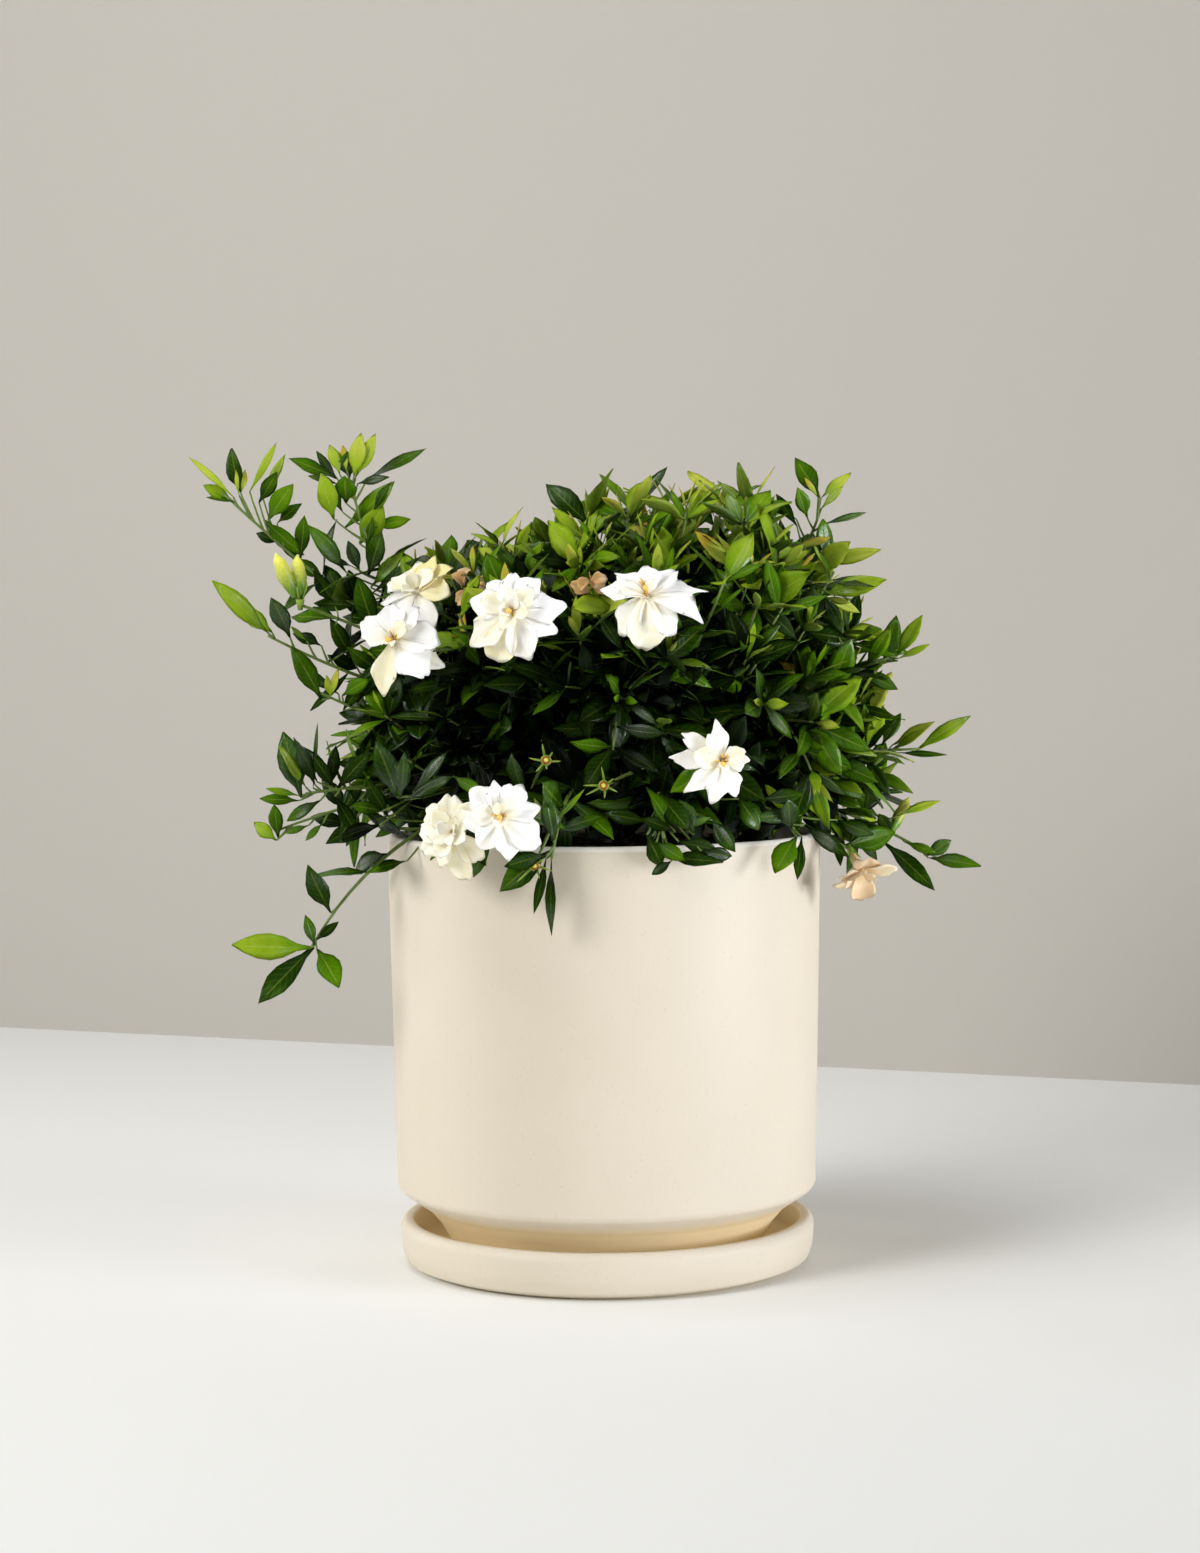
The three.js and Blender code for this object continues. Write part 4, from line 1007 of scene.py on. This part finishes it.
# A sprig has its stem (where it starts, where it ends and how it bows) and its leaves: where each starts (across and
# up in the front view), the way it points there (0 is right, 90 is up), its length, its width, its tone from old and
# dark to young and bright, and for some their own depth. Twigs to the leaves may fork further back, where "forks" is
# less than usual. A bud or a spent calyx stands at its place.
SPRIGS = {
    "sprig_left_tall": {
        "stem": ((-60, -8, 340), (-142, -24, 452), (-14, 0, -12)),
        "leaves": [
            (-140, 454, 80, 24, 9, 0.88), (-139, 454, 60, 26, 8, 0.8), (-148, 455, 105, 18, 7, 0.84),
            (-144, 457, 100, 15, 5, 0.9), (-143, 453, 95, 15, 10, 0.3), (-133, 452, 30, 39, 8, 0.3),
            (-150, 453, 155, 28, 9, 0.3), (-150, 453, 130, 20, 5, 0.2), (-150, 450, 165, 17, 5, 0.3),
            (-152, 430, 105, 25, 11, 0.75), (-147, 434, 120, 20, 7, 0.3), (-145, 439, 90, 15, 12, 0.35),
            (-146, 425, 40, 39, 10, 0.55), (-138, 416, 55, 25, 13, 0.6), (-130, 425, 15, 22, 7, 0.5),
            (-130, 434, 55, 20, 6, 0.3), (-138, 450, 10, 18, 5, 0.2), (-133, 398, 70, 26, 11, 0.25),
            (-132, 391, 45, 29, 8, 0.62), (-146, 400, 125, 33, 10, 0.4), (-131, 388, 35, 33, 6, 0.25),
            (-142, 403, 160, 14, 4, 0.05), (-146, 384, 125, 24, 10, 0.2), (-140, 382, 105, 20, 9, 0.15),
            (-138, 400, 110, 19, 7, 0.2), (-134, 414, 75, 18, 6, 0.3), (-126, 378, 60, 30, 9, 0.3),
            (-118, 372, 100, 26, 8, 0.4), (-128, 372, 170, 22, 8, 0.25), (-112, 362, 130, 28, 9, 0.35),
        ],
    },
    "sprig_left_upper": {
        "stem": ((-66, -4, 334), (-216, -20, 446), (4, 0, -12)),
        "leaves": [
            (-209, 443, 135, 35, 4, 0.84), (-205, 446, 105, 25, 11, 0.25), (-205, 445, 75, 14, 4, 0.92),
            (-206, 444, 95, 14, 3, 0.92), (-200, 446, 55, 32, 5, 0.76), (-193, 443, 60, 28, 5, 0.76),
            (-195, 440, 55, 20, 8, 0.3), (-210, 441, 150, 19, 7, 0.6), (-208, 440, 165, 18, 3, 0.35),
            (-190, 430, 55, 25, 11, 0.55), (-185, 428, 40, 18, 8, 0.3), (-192, 430, -45, 30, 10, 0.45),
            (-184, 417, 155, 14, 6, 0.05), (-184, 422, -60, 18, 6, 0.2), (-172, 408, 80, 24, 9, 0.3),
            (-165, 402, -60, 22, 9, 0.2), (-158, 396, 150, 24, 8, 0.3), (-150, 390, -50, 22, 9, 0.15),
            (-140, 380, 170, 26, 9, 0.2),
        ],
    },
    "sprig_left_out": {
        "stem": ((-62, -22, 320), (-186, -62, 364), (0, 0, -6)),
        "leaves": [
            (-186, 366, 135, 39, 11, 0.74), (-184, 366, 142, 22, 9, 0.7), (-174, 363, 110, 24, 10, 0.2),
            (-157, 358, 155, 18, 8, 0.2), (-154, 353, -25, 18, 8, 0.1), (-165, 361, 140, 12, 3, 0.6),
            (-140, 350, 120, 26, 9, 0.25), (-134, 346, -50, 24, 8, 0.15), (-124, 342, 140, 24, 9, 0.3),
        ],
    },
    "sprig_left_middle": {
        "stem": ((-60, -20, 304), (-158, -56, 332), (0, 0, -6)),
        "leaves": [
            (-157, 328, 115, 34, 11, 0.42), (-148, 331, 145, 30, 6, 0.3), (-146, 330, 35, 18, 8, 0.5),
            (-152, 330, 75, 16, 5, 0.88), (-152, 329, 105, 13, 4, 0.84), (-138, 326, 60, 28, 10, 0.25),
            (-138, 324, -15, 22, 8, 0.45), (-146, 322, 50, 18, 7, 0.3), (-130, 320, -60, 28, 9, 0.2),
            (-120, 318, 100, 26, 8, 0.3), (-124, 316, 170, 26, 9, 0.25), (-112, 314, 20, 28, 9, 0.5),
        ],
    },
    "sprig_left_low": {
        "stem": ((-62, -26, 288), (-166, -66, 276), (0, 0, 0)),
        "leaves": [
            (-168, 274, 105, 38, 14, 0.35), (-166, 280, 120, 26, 7, 0.74), (-161, 281, 110, 26, 8, 0.2),
            (-151, 280, 125, 27, 8, 0.2), (-149, 278, 50, 31, 10, 0.32), (-116, 274, 105, 36, 14, 0.35),
            (-108, 282, 115, 20, 9, 0.3), (-110, 276, 25, 30, 9, 0.2), (-170, 272, 175, 22, 6, 0.45),
            (-170, 275, 165, 18, 4, 0.6), (-153, 279, 80, 24, 7, 0.15), (-162, 279, 80, 36, 4, 0.3),
            (-142, 281, 70, 24, 7, 0.2), (-150, 274, -60, 24, 8, 0.2), (-136, 272, -120, 26, 8, 0.3),
            (-124, 274, -40, 26, 8, 0.25), (-132, 284, 20, 26, 8, 0.4), (-158, 272, -150, 22, 7, 0.4),
            (-113, 275, 107, 33, 12, 0.28, -94), (-108, 274, 23, 29, 8, 0.22, -100),
            (-81, 287, -29, 18, 7, 0.5, -112), (-124, 259, -162, 25, 10, 0.04, -80),
            (-146, 280, 49, 27, 10, 0.2, -88), (-148, 280, 123, 21, 7, 0.15, -82), (-158, 283, 113, 27, 6, 0.2, -78),
            (-111, 275, 82, 24, 8, 0.3, -96), (-104, 278, 47, 29, 7, 0.25, -96), (-122, 267, 167, 17, 7, 0.35, -84),
        ],
    },
    "sprig_left_rim": {
        "stem": ((-60, -8, 280), (-184, -32, 254), (0, 0, 5)),
        "leaves": [
            (-186, 248, 140, 17, 8, 0.74), (-185, 249, 95, 20, 8, 0.45), (-168, 256, -160, 16, 4, 0.5),
            (-160, 257, -140, 15, 4, 0.5), (-136, 258, -150, 26, 9, 0.2), (-144, 256, 170, 24, 9, 0.15),
            (-146, 264, 130, 24, 9, 0.15), (-140, 264, -110, 24, 8, 0.2), (-150, 262, 60, 24, 8, 0.3),
            (-130, 268, -70, 22, 8, 0.25),
        ],
    },
    "sprig_left_hanging": {
        "stem": ((-50, -40, 276), (-163, -74, 191), (-9, -4, 12)),
        "leaves": [
            (-152, 210, 115, 29, 12, 0.3), (-161, 192, 105, 18, 6, 0.4), (-163, 191, 180, 46, 14, 0.7),
            (-162, 191, -135, 43, 15, 0.28), (-160, 190, -55, 24, 13, 0.55), (-160, 195, 40, 16, 5, 0.2),
            (-120, 262, 120, 26, 9, 0.3), (-112, 270, -60, 26, 10, 0.3), (-128, 258, -160, 22, 8, 0.25),
            (-125, 258, -45, 24, 12, 0.35, -62), (-109, 239, -168, 23, 7, 0.4, -80),
        ],
    },
    "sprig_rim_hanging": {
        "stem": ((-10, -50, 276), (-28, -140, 244), (0, -14, 16)), "spent": (-38, -139, 238),
        "leaves": [
            (-27, 253, 95, 26, 9, 0.35), (-29, 248, -145, 35, 13, 0.35), (-28, 244, -92, 42, 6, 0.25),
            (-31, 244, -100, 28, 5, 0.2), (-31, 246, -170, 22, 9, 0.25), (-28, 262, 45, 26, 3, 0.6),
            (-30, 262, 115, 16, 3, 0.8), (-26, 258, 20, 26, 7, 0.3), (-22, 268, 150, 24, 8, 0.3),
        ],
    },
    "sprig_top_right": {
        "stem": ((52, -4, 344), (126, -12, 434), (8, 0, -8)),
        "leaves": [
            (125, 440, 120, 27, 11, 0.35), (126, 440, 40, 23, 7, 0.8), (126, 434, 45, 18, 5, 0.75),
            (124, 440, 120, 14, 3, 0.9), (127, 425, 15, 27, 4, 0.35), (118, 429, 108, 18, 8, 0.5),
            (112, 424, 125, 22, 6, 0.15), (112, 428, 148, 24, 5, 0.3), (128, 406, 95, 22, 11, 0.4),
            (128, 406, 80, 14, 7, 0.35), (120, 396, 40, 29, 13, 0.8), (126, 402, 15, 32, 8, 0.84),
            (118, 397, 80, 24, 15, 0.25), (108, 384, 10, 48, 8, 0.45), (98, 369, 60, 27, 16, 0.4),
            (112, 396, 145, 22, 11, 0.35), (104, 388, 100, 26, 10, 0.3), (92, 376, 140, 28, 10, 0.4),
            (88, 370, 20, 30, 9, 0.35),
        ],
    },
    "sprig_right_high": {
        "stem": ((60, -12, 322), (166, -28, 350), (0, 0, -4)),
        "leaves": [
            (118, 346, 55, 26, 10, 0.45), (167, 349, 60, 27, 8, 0.66), (160, 346, 75, 27, 11, 0.4),
            (168, 348, 25, 19, 4, 0.7), (156, 347, 110, 18, 7, 0.4), (138, 337, 75, 24, 8, 0.5),
            (136, 340, 10, 24, 7, 0.35), (122, 338, 155, 22, 6, 0.3), (146, 342, -30, 26, 8, 0.3),
            (130, 336, 120, 24, 9, 0.35), (150, 344, 60, 24, 9, 0.55), (112, 334, -40, 28, 9, 0.3),
        ],
    },
    "sprig_right_middle": {
        "stem": ((62, -4, 298), (182, -14, 296), (0, 0, -2)),
        "leaves": [
            (140, 304, 55, 44, 14, 0.9), (136, 302, 15, 34, 10, 0.3), (166, 298, 30, 27, 7, 0.84),
            (160, 298, 60, 22, 8, 0.45), (126, 300, 80, 28, 10, 0.3), (180, 295, 35, 37, 8, 0.7),
            (168, 294, -5, 30, 4, 0.35), (166, 296, 30, 20, 6, 0.74), (150, 292, -60, 26, 8, 0.3),
            (130, 292, 5, 30, 10, 0.3), (142, 292, -110, 24, 8, 0.25), (152, 298, 100, 24, 8, 0.4),
        ],
    },
    "sprig_right_low": {
        "stem": ((60, -8, 280), (190, -22, 234), (0, 0, 8)), "bud": (176, -8, 268),
        "leaves": [
            (168, 258, 22, 27, 5, 0.84), (160, 243, -40, 40, 10, 0.3), (185, 234, -6, 28, 9, 0.5),
            (184, 235, 30, 17, 8, 0.45), (172, 243, -20, 19, 5, 0.5), (136, 257, -25, 30, 9, 0.3),
            (122, 262, -38, 34, 8, 0.35), (142, 252, -50, 26, 8, 0.3), (134, 254, -85, 24, 7, 0.25),
            (154, 252, -85, 12, 6, 0.55), (165, 248, 125, 14, 8, 0.3), (150, 258, 80, 27, 9, 0.3),
            (130, 266, 40, 30, 9, 0.3), (112, 268, -60, 24, 8, 0.25),
        ],
    },
    "sprig_rim_right": {
        "stem": ((46, -36, 278), (104, -98, 256), (0, 0, 6)),
        "leaves": [
            (105, 252, -125, 23, 13, 0.55), (108, 252, -95, 24, 6, 0.35), (102, 256, 95, 18, 10, 0.3),
            (108, 264, 180, 26, 8, 0.35), (86, 273, 4, 23, 8, 0.35, -104), (110, 258, -36, 27, 8, 0.25, -92),
            (130, 259, -25, 22, 8, 0.3, -70), (84, 260, 100, 20, 13, 0.4), (104, 262, 130, 24, 7, 0.7),
            (84, 272, 40, 17, 6, 0.6), (92, 264, -160, 22, 9, 0.3),
        ],
    },
    "sprig_rim_centre": {
        "stem": ((24, -50, 278), (32, -131, 254), (0, 0, 8)), "forks": 42,
        "leaves": [
            (38, 258, 125, 28, 11, 0.4), (48, 256, 110, 20, 10, 0.35), (38, 257, 155, 19, 7, 0.25),
            (26, 255, -155, 18, 11, 0.3), (28, 252, -35, 17, 8, 0.4), (34, 250, -130, 17, 8, 0.35),
            (40, 252, -15, 21, 8, 0.3), (42, 260, 15, 16, 4, 0.5), (24, 262, 170, 24, 8, 0.3),
            (23, 256, -64, 19, 10, 0.3, -132), (36, 242, -142, 13, 6, 0.2, -136), (58, 263, -56, 19, 9, 0.3, -128),
            (33, 244, -7, 31, 9, 0.22, -135), (52, 247, -14, 17, 8, 0.25, -133), (30, 278, -54, 25, 11, 0.3, -126),
            (73, 274, -54, 20, 12, 0.36, -120),
        ],
    },
}


def nearest(point, across, up):
    """The share of a stem, and the point on it, nearest to a place of the front view."""
    steps = [(i / 40, point(i / 40)) for i in range(41)]
    return min(steps, key=lambda one: hypot(one[1].x - across, one[1].z - up))


def sprig_piece(name, plan, seed):
    """A sprig: its stem, its leaves one by one, and any bud or spent calyx on it."""
    bm = new_bmesh()
    draw = seeded(seed)
    point, heading = bezier(*(Vector(place) for place in plan["stem"]))
    tube(bm, STALK_BLANK, point, heading, STEM["root"] + 0.2, STEM["tip"] - 0.1, 0.8, ON_STEM)
    for across, up, points, length, width, tone, *deep in plan["leaves"]:
        share, on_stem = nearest(point, across, up)
        base = Vector((across, deep[0] if deep else on_stem.y + (draw() - 0.5) * 5, up))
        gap = (base - on_stem).length
        if gap > 1.5:
            from_share = max(0, share - gap / plan.get("forks", 120))
            way = bezier(point(from_share), base, UP * (-0.06 * gap))
            tube(bm, TWIG_BLANK, *way, 0.75, 0.5, 0.85, ON_STEM)
        depth = (draw() - 0.62) * 1.1
        along = (polar(RIGHT, UP, points) + BACK * depth).normalized()
        look = Vector(((draw() - 0.5) * 0.9 - 0.1, -1, 0.35 + (draw() - 0.5) * 0.9))
        face_up = (look - along * look.dot(along)).normalized()
        real = length * sqrt(1 + depth * depth)
        raised = 0.12 * smooth(300, 400, up) * (1 - tone) + (draw() - 0.5) * 0.06
        leaf(bm, base, along, face_up, real, width * 1.1, tone + raised, draw, wild=0.5)
    # the inner leaves along the stem are painted darker as shade
    leafy(bm, point, heading, 6, 0, LEAF["sprig"], seed + 1, -0.14, 0.08, 0.7, young=False)
    if "spent" in plan:
        spent_calyx(bm, point, Vector(plan["spent"]), seed + 3)
    if "bud" in plan:
        bud(bm, point(0.8), Vector(plan["bud"]), seed, 3.4)
    shoot_piece(name, bm)


for i, (name, plan) in enumerate(SPRIGS.items()):
    sprig_piece(name, plan, 611 + 10 * i)

# ---------------------------------------------------------------- boughs, crown and heart

BOUGHS = {
    "bough_top_back": (62, 66),
    "bough_top_front": (244, 66),
    "bough_upper_right_front": (326, 38),
    "bough_upper_right_back": (20, 38),
    "bough_upper_back": (112, 36),
    "bough_upper_left_back": (158, 38),
    "bough_front": (272, 8),
    "bough_front_right": (318, 0),
    "bough_back_right": (40, -4),
    "bough_back": (88, -6),
    "bough_back_left": (140, -4),
}


def bough_piece(name, azimuth, height, seed):
    """A bough: a stem from the heart to the dome, with leafy side twigs."""
    bm = new_bmesh()
    point, heading = bezier(on_dome(azimuth, height, 0.45), in_crown(azimuth, height, 0.86), UP * 4)
    tube(bm, STALK_BLANK, point, heading, STEM["root"], STEM["tip"], 0.55, ON_STEM)
    # leaves of the bough at the front are painted much darker as shade, the others a little darker
    shaded = -0.3 if abs(azimuth - 280) < 30 else -0.05
    leafy(bm, point, heading, 2, 5, 38, seed, shaded)
    for i in range(5):
        t = 0.25 + 0.13 * i
        out = around(heading(t), seed + i * SPIRAL["twigs"])
        end = point(t) + heading(t) * 24 + out * 30
        if not has_room(end):
            continue
        twig, way = bezier(point(t), end, UP * 2)
        tube(bm, TWIG_BLANK, twig, way, STEM["twig"], 0.6, 0.7, ON_STEM)
        leafy(bm, twig, way, 1, 4, LEAF["sprig"], seed + i + 1, shaded, young=shaded > -0.1)
    shoot_piece(name, bm)


for i, (name, (azimuth, height)) in enumerate(BOUGHS.items()):
    bough_piece(name, azimuth, height, 751 + 10 * i)


def crown_shoot(bm, index, draw):
    """One of the many leafy shoots that make the crown; it turns up towards its tip."""
    rise = (index + 0.5) / CROWN["shoots"]
    height = degrees(asin(-0.42 + 1.41 * rise)) + (draw() - 0.5) * 8
    azimuth = index * SPIRAL["shoots"] + (draw() - 0.5) * 12
    front_low = smooth(0.3, 0.85, -sin(radians(azimuth))) * (1 - smooth(0, 36, height))
    reach = 0.78 + 0.19 * draw() - 0.22 * front_low
    tip = in_crown(azimuth, height, reach)
    root = in_crown(azimuth + (draw() - 0.5) * 20, height * 0.7, 0.5)
    if not has_room(tip) or hides_bloom(tip, ALL_BLOOMS):
        return
    point, heading = bezier(root, tip, UP * (-5 - 7 * draw()))
    tube(bm, TWIG_BLANK, point, heading, 1.1, 0.7, 0.35 + 0.4 * draw(), ON_STEM)
    top = smooth(0, 60, height)
    # leaves low at the front are painted darker as shade, and all are a little lighter towards the top
    age_and_shade = -0.42 * front_low + 0.12 * top + (draw() - 0.62) * 0.3
    if draw() < 0.03:
        age_and_shade += 0.35
    young = draw() < (0.3 + 0.5 * top) * (1 - front_low)
    leafy(bm, point, heading, CROWN["pairs"], CROWN["tuft"], CROWN["leaf"], 9001 + index, age_and_shade, young=young)


crowns = [new_bmesh() for _ in range(CROWN["pieces"])]
crown_draw = seeded(77)
for index in range(CROWN["shoots"]):
    crown_shoot(crowns[index % CROWN["pieces"]], index, crown_draw)
for i, bm in enumerate(crowns):
    piece(f"crown_foliage_{i + 1}", bm, GREENS, "leaf")


def heart_piece():
    """The heart of the bush: a rough dome painted nearly black as shade, thick with leaves and bare twigs, the leaves
    painted dark as shade.
    """
    bm = new_bmesh()
    draw = seeded(29)
    rough = [draw() for _ in range(700)]
    count = [0]

    def place(co):
        count[0] += 1
        away = co.normalized()
        swell = 0.9 + (rough[count[0] % 700] - 0.5) * 2 * HEART["rough"]
        down = HEART["belly"] if away.z < 0 else HEART["reach"][2]
        return Vector(HEART["centre"]) + scaled(away, (*HEART["reach"][:2], down)) * swell

    # the dome is painted nearly black: painted shade where the bush is deepest
    lay(bm, ball_blank("heart_blank", 4), place, -0.2)
    for i in range(FILL["shoots"]):
        height = degrees(asin(-0.62 + 1.55 * (i + 0.5) / FILL["shoots"]))
        azimuth = i * SPIRAL["shoots"] + 40
        root = in_crown(azimuth, height, 0.45)
        tip = in_crown(azimuth + 14 * (draw() - 0.5), height, 0.66 + 0.12 * draw())
        if not has_room(tip):
            continue
        point, heading = straight(root, tip)
        tube(bm, TWIG_BLANK, point, heading, 0.9, 0.6, 0.1, ON_STEM)
        # these inner leaves are painted dark as shade
        leafy(bm, point, heading, FILL["pairs"], FILL["tuft"], FILL["leaf"], 4001 + i, -0.34, young=False)
    piece("heart_foliage", bm, (SHADED_LEAF, SHADED_LEAF, GREEN_STEM), "inner_leaf", ("inner_foliage",))


heart_piece()

# ---------------------------------------------------------------- stage, light and camera


def stage_plane(name, corners, material):
    bm = bmesh.new()
    bm.faces.new([bm.verts.new(corner) for corner in corners])
    mesh = bpy.data.meshes.new(name)
    bm.to_mesh(mesh)
    bm.free()
    mesh.materials.append(material)
    made = bpy.data.objects.new(name, mesh)
    scene.collection.objects.link(made)


def plain_paint(name, colour, rough, one_sided=False):
    """A matt painted surface with a faint roller texture; a one-sided one isn't there for whoever is behind it."""
    material, tree, where = start(name)
    shader = skin(tree, colour, rough, relief(tree, noise(tree, where, 1000 / 260, 2.0), 0.1, 0.3))
    if one_sided:
        behind = put(tree, "ShaderNodeNewGeometry").outputs["Backfacing"]
        clear = put(tree, "ShaderNodeBsdfTransparent").outputs[0]
        shader = put(tree, "ShaderNodeMixShader", {0: behind, 1: shader, 2: clear}).outputs[0]
    close(tree, shader)
    return material


# The wall stands askew behind the table: it meets it at these two points, in metres.
WALL_LEFT, WALL_RIGHT, WALL_TOP = Vector((-0.569, 1.061, 0)), Vector((0.474, 0.640, 0)), Vector((0, 0, 4))
WALL_RUN = (WALL_RIGHT - WALL_LEFT).normalized() * 5
TABLE = [(-6, -6, 0), (6, -6, 0), (6, 6, 0), (-6, 6, 0)]
stage_plane("table_top", TABLE, plain_paint("matt_white_table", "#f5f5f2", 0.7))
stage_plane(
    "wall",
    [WALL_LEFT - WALL_RUN, WALL_RIGHT + WALL_RUN, WALL_RIGHT + WALL_RUN + WALL_TOP, WALL_LEFT - WALL_RUN + WALL_TOP],
    plain_paint("greige_wall_paint", "#bfbab1", 0.9, one_sided=True),
)


def soft_light(name, place, target, size, power, spread, colour="#ffffff"):
    data = bpy.data.lights.new(name, "AREA")
    data.shape = "DISK"
    data.size = size
    data.energy = power
    data.spread = radians(spread)
    data.color = linear(colour)[:3]
    made = bpy.data.objects.new(name, data)
    made.location = place
    made.rotation_mode = "QUATERNION"
    made.rotation_quaternion = (Vector(target) - Vector(place)).to_track_quat("-Z", "Y")
    scene.collection.objects.link(made)


soft_light("window", (-1.95, -1.66, 1.45), (0, 0, 0.2), 1.3, 44, 180)
soft_light("overhead", (-0.7, -0.5, 2.4), (-0.2, 0, 0.3), 1.2, 19, 180)
soft_light("low_fill", (2.1, -1.0, 0.22), (0, 0, 0.25), 1.3, 9.8, 60, "#f4f7ff")
soft_light("left_edge", (-2.0, 0.8, 0.6), (0, 0, 0.25), 1.0, 1.1, 50)

world = bpy.data.worlds.new("soft_studio")
world.use_nodes = True
world.node_tree.nodes["Background"].inputs["Color"].default_value = linear("#f2f3f4")
world.node_tree.nodes["Background"].inputs["Strength"].default_value = 0.19
scene.world = world
scene.view_settings.view_transform = "Standard"
scene.view_settings.look = "None"

# The photograph is 1200 by 1553; its focal length, in those pixels, fits the pot's ellipses.
PHOTO_LONG_SIDE = 1553
CAMERA = {"place": (0, -1.721, 0.3628), "down": 0.0475, "roll": -0.0088, "focal": 2977.5, "off": 3.44}
camera_data = bpy.data.cameras.new("camera")
camera_data.sensor_width = 36
camera_data.lens = CAMERA["focal"] / PHOTO_LONG_SIDE * 36
camera_data.shift_x = -CAMERA["off"] / PHOTO_LONG_SIDE
camera = bpy.data.objects.new("camera", camera_data)
camera.matrix_world = (
    Matrix.Translation(CAMERA["place"])
    @ Matrix.Rotation(pi / 2 - CAMERA["down"], 4, "X")
    @ Matrix.Rotation(CAMERA["roll"], 4, "Z")
)
scene.collection.objects.link(camera)
scene.camera = camera
